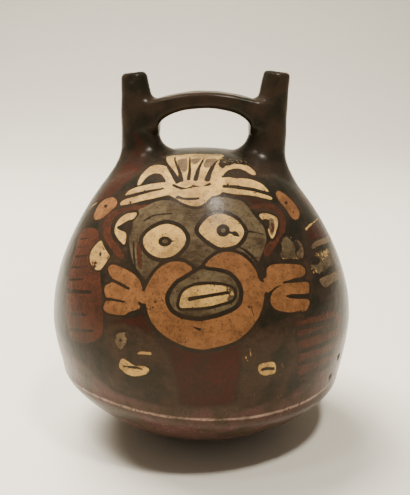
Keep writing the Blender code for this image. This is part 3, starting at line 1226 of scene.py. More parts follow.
@dataclass(frozen=True)
class EarOrnaments:
    """The hooked cream ornaments, the red bands round them, the seed-shaped beads and the leaves."""

    hook_line: float = 1.1
    bead_line: float = 0.8
    leaf_line: float = 0.9

    def shapes(self) -> list[Shape]:
        """Give the shapes on both sides."""
        return [*self._bands(), *self._hooks(), *self._beads(), *self._leaves()]

    @staticmethod
    def _bands() -> list[Shape]:
        """Give the red bands.

        Returns:
            The shapes, in the order in which they are laid.
        """
        left = (
            (150.0, 204.2), (138.0, 205.6), (129.2, 207.2), (115.4, 210.2), (108.4, 214.8), (103.9, 222.7),
            (103.2, 232.6), (106.0, 241.5), (113.2, 251.4), (119.8, 258.6), (124.3, 256.3), (119.3, 247.4),
            (113.6, 239.5), (110.8, 231.6), (111.8, 223.7), (116.3, 216.2), (125.2, 210.8), (138.0, 209.6),
        )
        right = (
            (249.0, 208.4), (254.3, 204.7), (264.2, 203.0), (274.1, 204.9), (281.0, 211.0), (285.5, 220.0),
            (285.0, 231.0), (281.0, 240.0), (275.0, 248.0), (268.0, 256.0), (263.5, 253.0), (266.5, 245.0),
            (273.0, 239.0), (277.8, 231.0), (279.4, 222.0), (276.6, 213.8), (271.0, 210.0), (262.0, 208.4),
        )
        return [Patch(Slip.RED, left), Patch(Slip.RED, right)]

    def _hooks(self) -> list[Shape]:
        """Give the cream hooks and the dark wedges in them.

        Returns:
            The shapes, in the order in which they are laid.
        """
        left = (
            (136.8, 212.9), (128.2, 213.2), (121.3, 217.1), (116.8, 222.7), (114.5, 230.6), (116.8, 236.8),
            (120.3, 241.5), (124.7, 244.4), (126.0, 233.4), (119.5, 229.9), (116.9, 227.4), (120.6, 224.9),
            (128.2, 220.4), (133.4, 218.9),
        )
        right = (
            (259.1, 214.9), (264.2, 213.1), (272.1, 215.1), (277.6, 219.4), (276.8, 229.7), (272.1, 238.9),
            (268.0, 229.7), (271.1, 225.0), (270.8, 221.3), (266.2, 219.0), (262.0, 219.4),
        )
        left_wedge = (
            (118.0, 227.0), (131.0, 219.0), (133.0, 226.0), (130.0, 236.0), (126.8, 238.0),
            (126.5, 233.0),
        )
        right_slit = ((263.5, 221.4), (267.0, 222.6), (270.0, 223.0))
        right_shade = ((269.5, 219.0), (273.5, 219.6), (274.6, 227.0), (272.2, 235.4), (269.4, 229.8))
        right_streak = ((272.2, 224.0), (272.8, 228.0), (272.0, 232.0))
        return [
            Patch(Slip.LINE, left_wedge),
            *ringed(Slip.CREAM, left, self.hook_line),
            *ringed(Slip.CREAM, right, self.hook_line),
            Stroke(Slip.LINE, right_slit, 1.2, 0.9),
            Patch(Slip.TAN, right_shade),
            Stroke(Slip.RED, right_streak, 1.2, 0.7),
        ]

    def _beads(self) -> list[Shape]:
        """Give the orange beads with their dark dots.

        Returns:
            The shapes, in the order in which they are laid.
        """
        left = (
            (94.3, 218.4), (94.9, 213.0), (99.5, 204.3), (106.3, 198.8), (113.2, 197.2), (117.0, 200.8),
            (116.3, 205.6), (110.4, 211.4), (102.5, 218.1), (97.0, 220.2),
        )
        right = (
            (275.6, 193.6), (278.8, 190.9), (285.9, 195.2), (293.9, 203.1), (299.0, 211.2), (298.6, 218.1),
            (293.9, 219.5), (289.7, 215.1), (285.5, 208.4), (279.0, 201.0),
        )
        left_dot = oval((105.7, 206.2), 1.5, 1.9, 30)
        right_dot = oval((285.9, 202.8), 1.6, 1.8)
        right_lower_dot = oval((293.3, 212.2), 0.9, 0.9)
        return [
            *ringed(Slip.ORANGE, left, self.bead_line),
            Patch(Slip.LINE, left_dot),
            *ringed(Slip.ORANGE, right, self.bead_line),
            Patch(Slip.LINE, right_dot),
            Patch(Slip.LINE, right_lower_dot),
        ]

    def _leaves(self) -> list[Shape]:
        """Give the cream leaf on the left and the rubbed one on the right.

        Returns:
            The shapes, in the order in which they are laid.
        """
        left = (
            (101.2, 240.6), (104.6, 247.6), (109.6, 255.6), (108.2, 259.0), (104.4, 265.2), (99.5, 270.2),
            (93.4, 268.2), (90.0, 261.3), (90.5, 253.4), (94.6, 246.5),
        )
        right = (
            (281.0, 240.0), (287.0, 236.4), (294.0, 238.8), (300.2, 242.3), (303.5, 249.4), (302.8, 257.5),
            (292.0, 258.6), (281.5, 258.3), (280.2, 249.0),
        )
        left_dot = oval((100.5, 254.2), 1.2, 2.0)
        left_streak = ((102.6, 246.6), (104.6, 252.0), (105.2, 258.4))
        left_wear = oval((96.0, 262.5), 3.4, 4.2)
        right_rim = ((290.0, 237.6), (296.0, 240.0), (300.8, 244.4), (302.6, 251.0), (302.0, 257.0))
        right_streak = ((296.0, 243.0), (298.4, 248.0), (297.4, 254.0))
        right_foot = ((283.0, 258.4), (290.0, 258.0), (298.0, 258.6))
        right_wear = oval((288.0, 247.0), 10.5, 9.5)
        right_line = ((281.0, 260.9), (290.0, 261.2), (303.0, 261.2))
        return [
            *ringed(Slip.CREAM, left, self.leaf_line),
            Patch(Slip.LINE, left_dot),
            Stroke(Slip.RED, left_streak, 0.5, 0.4),
            Patch(Slip.RUBBED, left_wear),
            *ringed(Slip.GREY, right, self.leaf_line),
            Stroke(Slip.TAN, right_rim, 1.2),
            Stroke(Slip.TAN, right_streak, 2.2, 1.6),
            Stroke(Slip.CREAM, right_foot, 0.6, 0.4),
            Patch(Slip.RUBBED, right_wear),
            Stroke(Slip.LINE, right_line, 0.9),
        ]


@dataclass(frozen=True)
class Streamers:
    """The red streamers down both sides, with the dark ticks across them."""

    panel_line: float = 0.7
    band_line: float = 0.6
    tick_taper: float = 1.5
    stripe_start: float = 1.9
    stripe_end: float = 3.0

    def shapes(self) -> list[Shape]:
        """Give the streamers' shapes."""
        return [*self._left(), *self._right_upper(), *self._right_lower()]

    def _left(self) -> list[Shape]:
        """Give the left streamer.

        Returns:
            The shapes, in the order in which they are laid.
        """
        panel = (
            (80.8, 231.6), (89.7, 228.0), (97.6, 230.0), (99.4, 238.0), (99.0, 250.0), (98.0, 262.0),
            (100.0, 274.0), (102.5, 298.9), (103.3, 328.5), (99.5, 337.6), (92.0, 341.8), (84.7, 343.0),
            (76.0, 341.4), (70.9, 337.4), (67.6, 326.0), (66.4, 313.7), (67.0, 289.0), (70.2, 269.2),
            (75.6, 249.4),
        )
        ticks = [
            ((80.5, 239.4), (91.2, 237.8), 0.5),
            ((77.8, 247.4), (88.7, 246.5), 0.5),
            ((75.8, 256.4), (89.0, 255.6), 0.7),
            ((72.4, 267.4), (88.0, 266.4), 0.7),
            ((69.4, 279.8), (83.4, 278.8), 0.8),
            ((67.2, 290.4), (91.0, 292.0), 1.4),
            ((70.0, 313.5), (87.0, 314.8), 1.0),
            ((70.6, 329.5), (92.8, 330.7), 1.2),
        ]
        edge = ((97.0, 203.0), (93.0, 206.0), (89.5, 209.5))
        cuts = [
            Stroke(Slip.LINE, (start, end), width * self.tick_taper, width) for start, end, width in ticks
        ]
        return [*ringed(Slip.RED, panel, self.panel_line), *cuts, Stroke(Slip.CREAM, edge, 0.4, 0.7)]

    def _right_upper(self) -> list[Shape]:
        """Give the worn diagonal bands of the right streamer.

        Returns:
            The shapes, in the order in which they are laid.
        """
        tan = (
            (311.6, 245.5), (318.0, 240.0), (329.0, 234.4), (332.0, 238.5), (322.0, 245.0),
            (314.0, 249.5),
        )
        low = (
            (319.6, 279.1), (330.0, 274.0), (340.3, 268.0), (343.0, 276.0), (333.0, 282.5),
            (325.5, 287.5),
        )
        mottled = (
            (313.0, 256.0), (320.0, 250.0), (334.0, 243.0), (340.0, 262.0), (330.0, 268.0), (318.0, 275.0),
            (311.0, 268.0), (307.0, 260.0),
        )
        upper = ((309.0, 228.0), (319.0, 219.0), (328.0, 233.0), (318.0, 239.0), (311.0, 242.0))
        thorn = ((305.9, 229.2), (311.0, 224.2), (317.5, 218.2))
        pale_spot = oval((323.0, 254.0), 7.5, 6.0, -30.0)
        dark_spot = oval((314.0, 260.5), 6.5, 4.6)
        small_spot = oval((314.5, 270.5), 2.8, 3.8, -30.0)
        parting = ((318.6, 276.3), (328.0, 271.8), (337.3, 266.0))
        return [
            Patch(Slip.RUSSET, upper),
            Stroke(Slip.CREAM, thorn, 1.1, 0.45),
            *ringed(Slip.TAN, tan, self.band_line),
            Patch(Slip.GREY, mottled),
            Patch(Slip.CREAM, pale_spot),
            Patch(Slip.RUBBED, mottled, grown=1.0),
            Patch(Slip.LINE, dark_spot),
            Patch(Slip.CREAM, small_spot),
            Stroke(Slip.LINE, parting, 1.1),
            *ringed(Slip.TAN, low, self.band_line),
        ]

    def _right_lower(self) -> list[Shape]:
        """Give the striped lower part of the right streamer.

        Returns:
            The shapes, in the order in which they are laid.
        """
        panel = (
            (290.5, 319.5), (312.0, 315.0), (331.0, 309.0), (341.0, 314.0), (340.0, 350.0), (330.0, 366.0),
            (312.0, 377.0), (297.0, 382.0), (295.0, 350.0),
        )
        top = (
            (291.0, 318.8), (312.0, 314.4), (334.0, 308.0), (336.0, 315.0), (316.0, 321.0),
            (297.0, 325.6),
        )
        lines = [
            ((298.0, 327.9), (314.0, 325.0), (334.0, 320.0)),
            ((296.0, 340.0), (316.0, 333.0), (337.0, 326.0)),
            ((297.0, 352.2), (316.0, 347.0), (337.0, 337.6)),
            ((296.8, 365.0), (312.0, 360.0), (336.0, 350.0)),
            ((297.0, 379.3), (311.0, 373.0), (334.0, 360.0)),
        ]
        worn = ((290.0, 316.0), (340.0, 306.0), (342.0, 352.0), (312.0, 380.0), (294.0, 384.0))
        return [
            Patch(Slip.RED, panel),
            Patch(Slip.RED, top),
            *[Stroke(Slip.LINE, line, self.stripe_start, self.stripe_end) for line in lines],
            Patch(Slip.RUBBED, worn),
        ]


@dataclass(frozen=True)
class TrophyHeads:
    """The two small dark heads below the mask, with their cream mouths."""

    mouth_line: float = 0.4

    def shapes(self) -> list[Shape]:
        """Give the shapes of both heads."""
        return [*self._left(), *self._right()]

    def _left(self) -> list[Shape]:
        """Give the left head.

        Returns:
            The shapes, in the order in which they are laid.
        """
        head = (
            (106.0, 330.0), (116.0, 324.0), (134.0, 326.0), (150.0, 336.0), (163.0, 350.0), (172.0, 366.0),
            (177.0, 390.0), (176.0, 409.0), (160.0, 406.0), (140.0, 400.0), (118.0, 392.0), (104.0, 380.0),
            (102.0, 356.0),
        )
        eye = (
            (120.8, 349.9), (115.6, 343.0), (115.6, 337.0), (119.0, 333.2), (126.0, 333.4),
            (126.4, 341.0),
        )
        mouth = (
            (119.2, 366.5), (121.9, 358.6), (129.2, 362.3), (135.1, 365.8), (144.0, 366.3), (149.0, 369.6),
            (147.0, 373.6), (141.1, 375.6), (133.2, 376.3), (125.2, 373.1),
        )
        pupil = oval((120.4, 340.2), 1.4, 2.0)
        cheek = ((138.0, 353.4), (143.5, 353.0), (150.0, 353.8))
        slit = ((123.5, 366.2), (133.0, 367.6), (141.8, 369.4))
        return [
            Patch(Slip.SHADE, head),
            Patch(Slip.TAN, eye),
            Patch(Slip.LINE, pupil),
            Stroke(Slip.CREAM, cheek, 0.7, 1.4),
            *ringed(Slip.CREAM, mouth, self.mouth_line),
            Stroke(Slip.LINE, slit, 1.0, 1.1),
        ]

    def _right(self) -> list[Shape]:
        """Give the right head.

        Returns:
            The shapes, in the order in which they are laid.
        """
        head = (
            (243.0, 345.0), (256.0, 333.0), (272.0, 324.0), (292.0, 318.0), (296.0, 345.0), (296.0, 380.0),
            (290.0, 396.0), (262.0, 405.0), (240.0, 408.0), (238.0, 385.0),
        )
        mouth = (
            (258.1, 367.4), (260.0, 364.0), (266.0, 362.4), (273.1, 361.8), (275.9, 366.0), (275.3, 372.4),
            (271.1, 374.6), (264.2, 375.6), (259.3, 372.8),
        )
        slit = ((262.2, 369.6), (267.0, 368.4), (273.4, 368.6))
        upper_tick = ((249.6, 348.0), (250.2, 352.0), (251.0, 356.0))
        lower_tick = ((245.6, 356.4), (247.2, 360.4), (249.8, 364.0))
        right_tick = ((282.3, 363.5), (282.8, 368.4))
        return [
            Patch(Slip.SHADE, head),
            *ringed(Slip.CREAM, mouth, self.mouth_line),
            Stroke(Slip.LINE, slit, 1.4),
            Stroke(Slip.CREAM, upper_tick, 0.45, 0.6),
            Stroke(Slip.CREAM, lower_tick, 0.45, 0.5),
            Stroke(Slip.CREAM, right_tick, 0.6, 0.5),
        ]


@dataclass(frozen=True)
class BackDesign:
    """The plainer painting of the hidden side: streamers like those of the front, with dark ticks."""

    streamers: Points = ((-150.0, 15.0), (-196.0, 13.0), (196.0, 13.0), (150.0, 15.0))
    slips: tuple[Slip, ...] = (Slip.RED, Slip.TAN, Slip.TAN, Slip.RED)
    top: float = 48.0
    foot: float = -8.0
    top_offset: float = 3.0
    foot_offset: float = 2.0
    edge_line: float = 0.9
    tick_gap: float = 9.0
    tick_start: float = 1.5
    tick_end: float = 0.6

    def shapes(self) -> list[Shape]:
        """Give the streamers' shapes.

        Returns:
            The shapes, in the order in which they are laid.
        """
        found: list[Shape] = []
        for number, ((middle, half), slip) in enumerate(zip(self.streamers, self.slips)):
            low = self.foot + self.foot_offset * (number % 2)
            high = self.top - self.top_offset * (number % 2)
            corners = (
                (-1.0, low + 6), (-0.7, low), (0.7, low), (1.0, low + 7),
                (0.8, high - 9), (0.3, high), (-0.4, high - 1), (-0.9, high - 8),
            )
            panel = tuple((middle + half * share, up) for share, up in corners)
            found += [
                Patch(Slip.LINE, panel, drawn_on_chart=True, grown=self.edge_line),
                Patch(slip, panel, drawn_on_chart=True),
                *self._ticks(middle, half, low, high),
            ]
        return found

    def _ticks(self, middle: float, half: float, low: float, high: float) -> list[Shape]:
        """Give the dark ticks across one streamer.

        Args:
            middle: Where the streamer's middle is on the chart.
            half: Half its width.
            low: The height of its foot.
            high: The height of its top.

        Returns:
            The ticks, from the lowest up.
        """
        ticks: list[Shape] = []
        side = -1.0 if middle > 0 else 1.0
        for number in range(1, int((high - low - 4.0) / self.tick_gap) + 1):
            up = low + 2.0 + number * self.tick_gap
            start = (middle - side * half * 0.86, up)
            end = (middle + side * half * 0.25, up + 0.8 * (number % 3))
            ticks.append(
                Stroke(Slip.LINE, (start, end), self.tick_start, self.tick_end, drawn_on_chart=True)
            )
        return ticks


# The finish


def coat_colour(red: int, green: int, blue: int) -> tuple[float, float, float, float]:
    """Turn a colour as it is seen into the light values that shaders take.

    Args:
        red: Its red, from 0 to 255.
        green: Its green, from 0 to 255.
        blue: Its blue, from 0 to 255.

    Returns:
        The light values and a full last one.
    """

    def light(value: int) -> float:
        """Give the light value of one channel."""
        share = value / 255.0
        return share / 12.92 if share <= 0.04045 else ((share + 0.055) / 1.055) ** 2.4

    return (light(red), light(green), light(blue), 1.0)


@dataclass(frozen=True)
class Coat:
    """How one coat looks.

    Attributes:
        slip: The coat, or nothing for the ground.
        even: Its usual colour.
        varied: The colour it drifts to in places.
        roughness: How matt it is.
        softness: Half the width over which its edge fades, in millimetres.
        wobble: How far its edge wanders, in millimetres.
        wears: How easily it is rubbed off, from 0 to 1.
        streak: How strong the brush strokes show in it, from 0 to 1.
    """

    slip: Slip | None
    even: tuple[int, int, int]
    varied: tuple[int, int, int]
    roughness: float = 0.36
    softness: float = 0.09
    wobble: float = 0.5
    wears: float = 0.0
    streak: float = 0.5


@dataclass(frozen=True)
class Blotches:
    """A noise over the surface, and the part of it that counts.

    Attributes:
        size: The blotches' width, in millimetres.
        detail: How many finer noises lie on it.
        start: The noise from which a blotch shows.
        full: The noise at which it is whole.
        stretch: How much longer the blotches are along each axis.
        twist: How much they are bent about.
    """

    size: float
    detail: float
    start: float = 0.0
    full: float = 1.0
    stretch: tuple[float, float, float] = (1.0, 1.0, 1.0)
    twist: float = 0.0


@dataclass(frozen=True)
class Veil:
    """A scattering of spots over all the coats.

    Attributes:
        spots: The spots.
        strength: How much of the coats they hide, from 0 to 1.
        colour: Their colour.
    """

    spots: Blotches
    strength: float
    colour: tuple[int, int, int]


COATS = (
    Coat(None, (29, 28, 21), (49, 38, 29), 0.24, streak=0.15),
    # Mauve coat low on the body: partly a painted reflection of the floor.
    Coat(Slip.MAUVE, (82, 56, 51), (60, 50, 37), 0.25, 2.6, 3.0, streak=0.2),
    Coat(Slip.RUSSET, (62, 28, 20), (46, 31, 23), 0.25, 2.0, 3.0),
    Coat(Slip.SHADE, (34, 32, 24), (60, 44, 33), 0.25, 1.2, 1.8, streak=0.3),
    Coat(Slip.RING, (160, 134, 118), (106, 84, 72), 0.28, 0.34, 0.9, 0.75, 0.4),
    Coat(Slip.RED, (77, 43, 30), (57, 37, 27), 0.27, 0.26, 0.9, 0.25, 0.6),
    Coat(Slip.TAN, (112, 90, 65), (78, 63, 46), 0.29, 0.30, 0.9, 0.6, 0.6),
    Coat(Slip.GREY, (93, 79, 57), (58, 46, 33), 0.26, 0.26, 0.9, 0.15, 0.40),
    Coat(Slip.ORANGE, (127, 85, 51), (108, 71, 43), 0.28, 0.11, 0.6, 0.2, 0.3),
    Coat(Slip.CREAM, (196, 156, 88), (152, 118, 70), 0.29, 0.12, 0.6, 0.5, 0.3),
    Coat(Slip.LINE, (36, 30, 23), (46, 37, 28), 0.25, 0.16, 0.6, streak=0.3),
)


# Specks, pits, soil and dust, in the order in which they lie on the coats
VEILS = (
    Veil(Blotches(0.8, 4.0, 0.57, 0.68), 0.58, (44, 33, 23)),
    Veil(Blotches(1.9, 2.0, 0.70, 0.74), 0.80, (34, 26, 18)),
    Veil(Blotches(3.2, 9.0, 0.46, 0.66), 0.30, (42, 33, 24)),
    Veil(Blotches(0.9, 6.0, 0.62, 0.76), 0.05, (150, 128, 98)),
)


class NodeDesk:
    """Short ways to lay out a material's nodes."""

    number_sockets: tuple[int, int, int] = (0, 2, 3)
    colour_sockets: tuple[int, int, int] = (0, 6, 7)
    colour_result: int = 2

    def __init__(self, material: bpy.types.Material) -> None:
        """Start with the material's own shader.

        Args:
            material: The material that the nodes are for.
        """
        material.use_nodes = True
        self.tree = material.node_tree
        self.shader = self.tree.nodes["Principled BSDF"]
        self.places = self.tree.nodes.new("ShaderNodeTexCoord").outputs["Object"]

    def join(self, source: object, socket: bpy.types.NodeSocket) -> None:
        """Link a socket to another, or set it to a plain value.

        Args:
            source: The other socket or the value.
            socket: The socket that takes it.
        """
        if isinstance(source, bpy.types.NodeSocket):
            self.tree.links.new(source, socket)
        else:
            socket.default_value = source

    def math(self, operation: str, *values: object, clamp: bool = False) -> bpy.types.NodeSocket:
        """Add a Math node.

        Args:
            operation: What it does.
            values: Its inputs.
            clamp: Whether the result is held between 0 and 1.

        Returns:
            Its output.
        """
        node = self.tree.nodes.new("ShaderNodeMath")
        node.operation = operation
        node.use_clamp = clamp
        for socket, value in zip(node.inputs, values):
            self.join(value, socket)
        return node.outputs[0]

    def noise(self, kind: Blotches) -> bpy.types.NodeSocket:
        """Add a noise.

        Args:
            kind: How it looks.

        Returns:
            The noise, from 0 to 1.
        """
        mapping = self.tree.nodes.new("ShaderNodeMapping")
        self.join(self.places, mapping.inputs["Vector"])
        scale = tuple(1.0 / (kind.size * MM * length) for length in kind.stretch)
        mapping.inputs["Scale"].default_value = scale
        node = self.tree.nodes.new("ShaderNodeTexNoise")
        self.join(mapping.outputs["Vector"], node.inputs["Vector"])
        node.inputs["Scale"].default_value = 1.0
        node.inputs["Detail"].default_value = kind.detail
        node.inputs["Distortion"].default_value = kind.twist
        return node.outputs["Fac"]

    def between(self, value: object, low: float, high: float) -> bpy.types.NodeSocket:
        """Spread a value between two limits over 0 to 1, eased.

        Args:
            value: The value.
            low: The limit that gives 0.
            high: The limit that gives 1.

        Returns:
            The spread value.
        """
        node = self.tree.nodes.new("ShaderNodeMapRange")
        node.interpolation_type = "SMOOTHSTEP"
        self.join(value, node.inputs["Value"])
        node.inputs["From Min"].default_value = low
        node.inputs["From Max"].default_value = high
        return node.outputs["Result"]

    def blotches(self, kind: Blotches) -> bpy.types.NodeSocket:
        """Add a noise and spread the part of it that counts over 0 to 1."""
        return self.between(self.noise(kind), kind.start, kind.full)

    def _mix(self, kind: str, sockets: tuple[int, int, int], *sources: object) -> bpy.types.Node:
        """Add a Mix node.

        Args:
            kind: What it mixes.
            sockets: The numbers of its inputs for the share, the first and the second.
            sources: What goes into them.

        Returns:
            The node.
        """
        node = self.tree.nodes.new("ShaderNodeMix")
        node.data_type = kind
        for socket, source in zip(sockets, sources):
            self.join(source, node.inputs[socket])
        return node

    def blend(self, share: object, first: object, second: object) -> bpy.types.NodeSocket:
        """Blend two colours."""
        return self._mix("RGBA", self.colour_sockets, share, first, second).outputs[self.colour_result]

    def weigh(self, share: object, first: object, second: object) -> bpy.types.NodeSocket:
        """Blend two numbers."""
        return self._mix("FLOAT", self.number_sockets, share, first, second).outputs[0]

    def cover(
        self, colour: object, share: object, strength: float, cover: tuple[int, int, int]
    ) -> bpy.types.NodeSocket:
        """Lay a thin colour over another.

        Args:
            colour: What it covers.
            share: Where it lies, from 0 to 1.
            strength: How much it hides there, from 0 to 1.
            cover: The thin colour.

        Returns:
            The covered colour.
        """
        return self.blend(self.math("MULTIPLY", share, strength), colour, coat_colour(*cover))

    def layer(self, name: str) -> bpy.types.NodeSocket:
        """Read a layer of the mesh.

        Args:
            name: The layer's name.

        Returns:
            Its value at each place.
        """
        node = self.tree.nodes.new("ShaderNodeAttribute")
        node.attribute_type = "GEOMETRY"
        node.attribute_name = name
        return node.outputs["Fac"]


@dataclass(frozen=True)
class PaintedClay:
    """The painted and burnished clay's material."""

    wander: Blotches = Blotches(4.0, 3.0)
    fray: Blotches = Blotches(0.6, 2.0)
    fray_width: float = 0.20
    drift: Blotches = Blotches(11.0, 5.0, 0.40, 0.62)
    strokes: Blotches = Blotches(2.2, 5.0, 0.34, 0.66, (3, 3, 1), 1.6)
    worn_spots: Blotches = Blotches(2.2, 9.0, 0.64, 0.74)
    rubbed_spots: Blotches = Blotches(1.3, 9.0, 0.36, 0.52)
    rubbed_edge: float = 1.5
    wear_depth: float = 6.0
    polish: Blotches = Blotches(1.6, 5.0, stretch=(1, 1, 5), twist=0.6)
    polish_change: float = 0.16
    specular: float = 0.12
    specular_tint: tuple[float, float, float, float] = (1.0, 0.90, 0.78, 1.0)
    cracked: Blotches = Blotches(3.0, 3.0, 0.50, 0.68)
    crack_density: float = 480.0
    crack_width: float = 0.09
    crack_strength: float = 0.50
    crack_colour: tuple[int, int, int] = (46, 34, 23)
    scuffed: Blotches = Blotches(9.0, 2.0, 0.50, 0.66)
    scuff_lines: Blotches = Blotches(0.6, 5.0, 0.58, 0.76, (1, 1, 5), 0.6)
    scuff_strength: float = 0.05
    scuff_colour: tuple[int, int, int] = (140, 118, 90)
    grain: Blotches = Blotches(0.7, 6.0)
    grain_height: float = 0.45
    marks: Blotches = Blotches(2.6, 3.0, stretch=(1, 1, 6), twist=0.5)
    mark_height: float = 0.25
    swell: Blotches = Blotches(7.0, 2.0)
    swell_height: float = 2.2
    pits: Blotches = Blotches(1.9, 2.0, 0.69, 0.73)
    bump_strength: float = 0.7
    bump_depth: float = 0.11

    def build(self) -> bpy.types.Material:
        """Build the material.

        Returns:
            The material.
        """
        material = bpy.data.materials.new(CLAY_SLOT)
        desk = NodeDesk(material)
        wander = desk.math("SUBTRACT", desk.noise(self.wander), 0.5)
        fray = desk.math("MULTIPLY_ADD", desk.noise(self.fray), self.fray_width, -self.fray_width / 2)
        drift, strokes = desk.blotches(self.drift), desk.blotches(self.strokes)
        rubbed = self._rubbed(desk)
        colour: object = None
        rough: object = None
        for coat in COATS:
            own = self._own_colour(desk, coat, drift, strokes)
            if coat.slip is None:
                colour, rough = own, coat.roughness
                continue
            shift = desk.math("MULTIPLY_ADD", wander, coat.wobble, fray)
            depth = desk.math("ADD", desk.layer(coat.slip.layer), shift)
            if coat.wears:
                worn = desk.math("MULTIPLY", rubbed, coat.wears * self.wear_depth)
                depth = desk.math("SUBTRACT", depth, worn)
            share = desk.between(depth, -coat.softness, coat.softness)
            colour = desk.blend(share, colour, own)
            rough = desk.weigh(share, rough, coat.roughness)
        desk.join(self._age(desk, colour), desk.shader.inputs["Base Color"])
        polish = desk.noise(self.polish)
        change = desk.math("MULTIPLY_ADD", polish, self.polish_change, -self.polish_change / 2)
        desk.join(desk.math("ADD", rough, change), desk.shader.inputs["Roughness"])
        desk.shader.inputs["Specular IOR Level"].default_value = self.specular
        desk.shader.inputs["Specular Tint"].default_value = self.specular_tint
        self._bump(desk)
        return material

    @staticmethod
    def _own_colour(desk: NodeDesk, coat: Coat, drift: object, strokes: object) -> bpy.types.NodeSocket:
        """Give one coat's colour with its drift and its brush strokes.

        Args:
            desk: Where nodes are added.
            coat: The coat.
            drift: The slow change over the surface.
            strokes: The brush strokes round the body.

        Returns:
            The colour.
        """
        slow = desk.math("MULTIPLY", drift, 1.0 - coat.streak)
        share = desk.math("MULTIPLY_ADD", strokes, coat.streak, slow)
        return desk.blend(share, coat_colour(*coat.even), coat_colour(*coat.varied))

    def _rubbed(self, desk: NodeDesk) -> bpy.types.NodeSocket:
        """Give how much of a thin coat is rubbed away.

        Args:
            desk: Where nodes are added.

        Returns:
            The share, from 0 to 1 and above where both wears meet.
        """
        everywhere = desk.blotches(self.worn_spots)
        places = desk.between(desk.layer(Slip.RUBBED.layer), -self.rubbed_edge, self.rubbed_edge)
        there = desk.blotches(self.rubbed_spots)
        return desk.math("ADD", everywhere, desk.math("MULTIPLY", places, there))

    def _cracks(self, desk: NodeDesk) -> bpy.types.NodeSocket:
        """Give the fine net of cracks in the slip.

        Args:
            desk: Where nodes are added.

        Returns:
            The net, from 0 to 1.
        """
        mapping = desk.tree.nodes.new("ShaderNodeMapping")
        desk.join(desk.places, mapping.inputs["Vector"])
        mapping.inputs["Scale"].default_value = (self.crack_density,) * 3
        cells = desk.tree.nodes.new("ShaderNodeTexVoronoi")
        cells.feature = "DISTANCE_TO_EDGE"
        desk.join(mapping.outputs["Vector"], cells.inputs["Vector"])
        cells.inputs["Scale"].default_value = 1.0
        away = desk.between(cells.outputs["Distance"], 0.0, self.crack_width)
        return desk.math("MULTIPLY", desk.math("SUBTRACT", 1.0, away), desk.blotches(self.cracked))

    def _age(self, desk: NodeDesk, colour: object) -> bpy.types.NodeSocket:
        """Lay cracks, the scattered spots and scuffs over the coats.

        Args:
            desk: Where nodes are added.
            colour: The colour of the coats.

        Returns:
            The aged colour.
        """
        colour = desk.cover(colour, self._cracks(desk), self.crack_strength, self.crack_colour)
        for veil in VEILS:
            colour = desk.cover(colour, desk.blotches(veil.spots), veil.strength, veil.colour)
        scuffs = desk.math("MULTIPLY", desk.blotches(self.scuff_lines), desk.blotches(self.scuffed))
        return desk.cover(colour, scuffs, self.scuff_strength, self.scuff_colour)

    def _bump(self, desk: NodeDesk) -> None:
        """Give the surface its burnishing marks, fine grain and pits.

        Args:
            desk: Where nodes are added.
        """
        height = desk.math("MULTIPLY", desk.noise(self.marks), self.mark_height)
        height = desk.math("MULTIPLY_ADD", desk.noise(self.grain), self.grain_height, height)
        height = desk.math("MULTIPLY_ADD", desk.noise(self.swell), self.swell_height, height)
        height = desk.math("SUBTRACT", height, desk.blotches(self.pits))
        node = desk.tree.nodes.new("ShaderNodeBump")
        node.inputs["Strength"].default_value = self.bump_strength
        node.inputs["Distance"].default_value = self.bump_depth * MM
        desk.join(height, node.inputs["Height"])
        desk.join(node.outputs["Normal"], desk.shader.inputs["Normal"])


# The vase's mesh


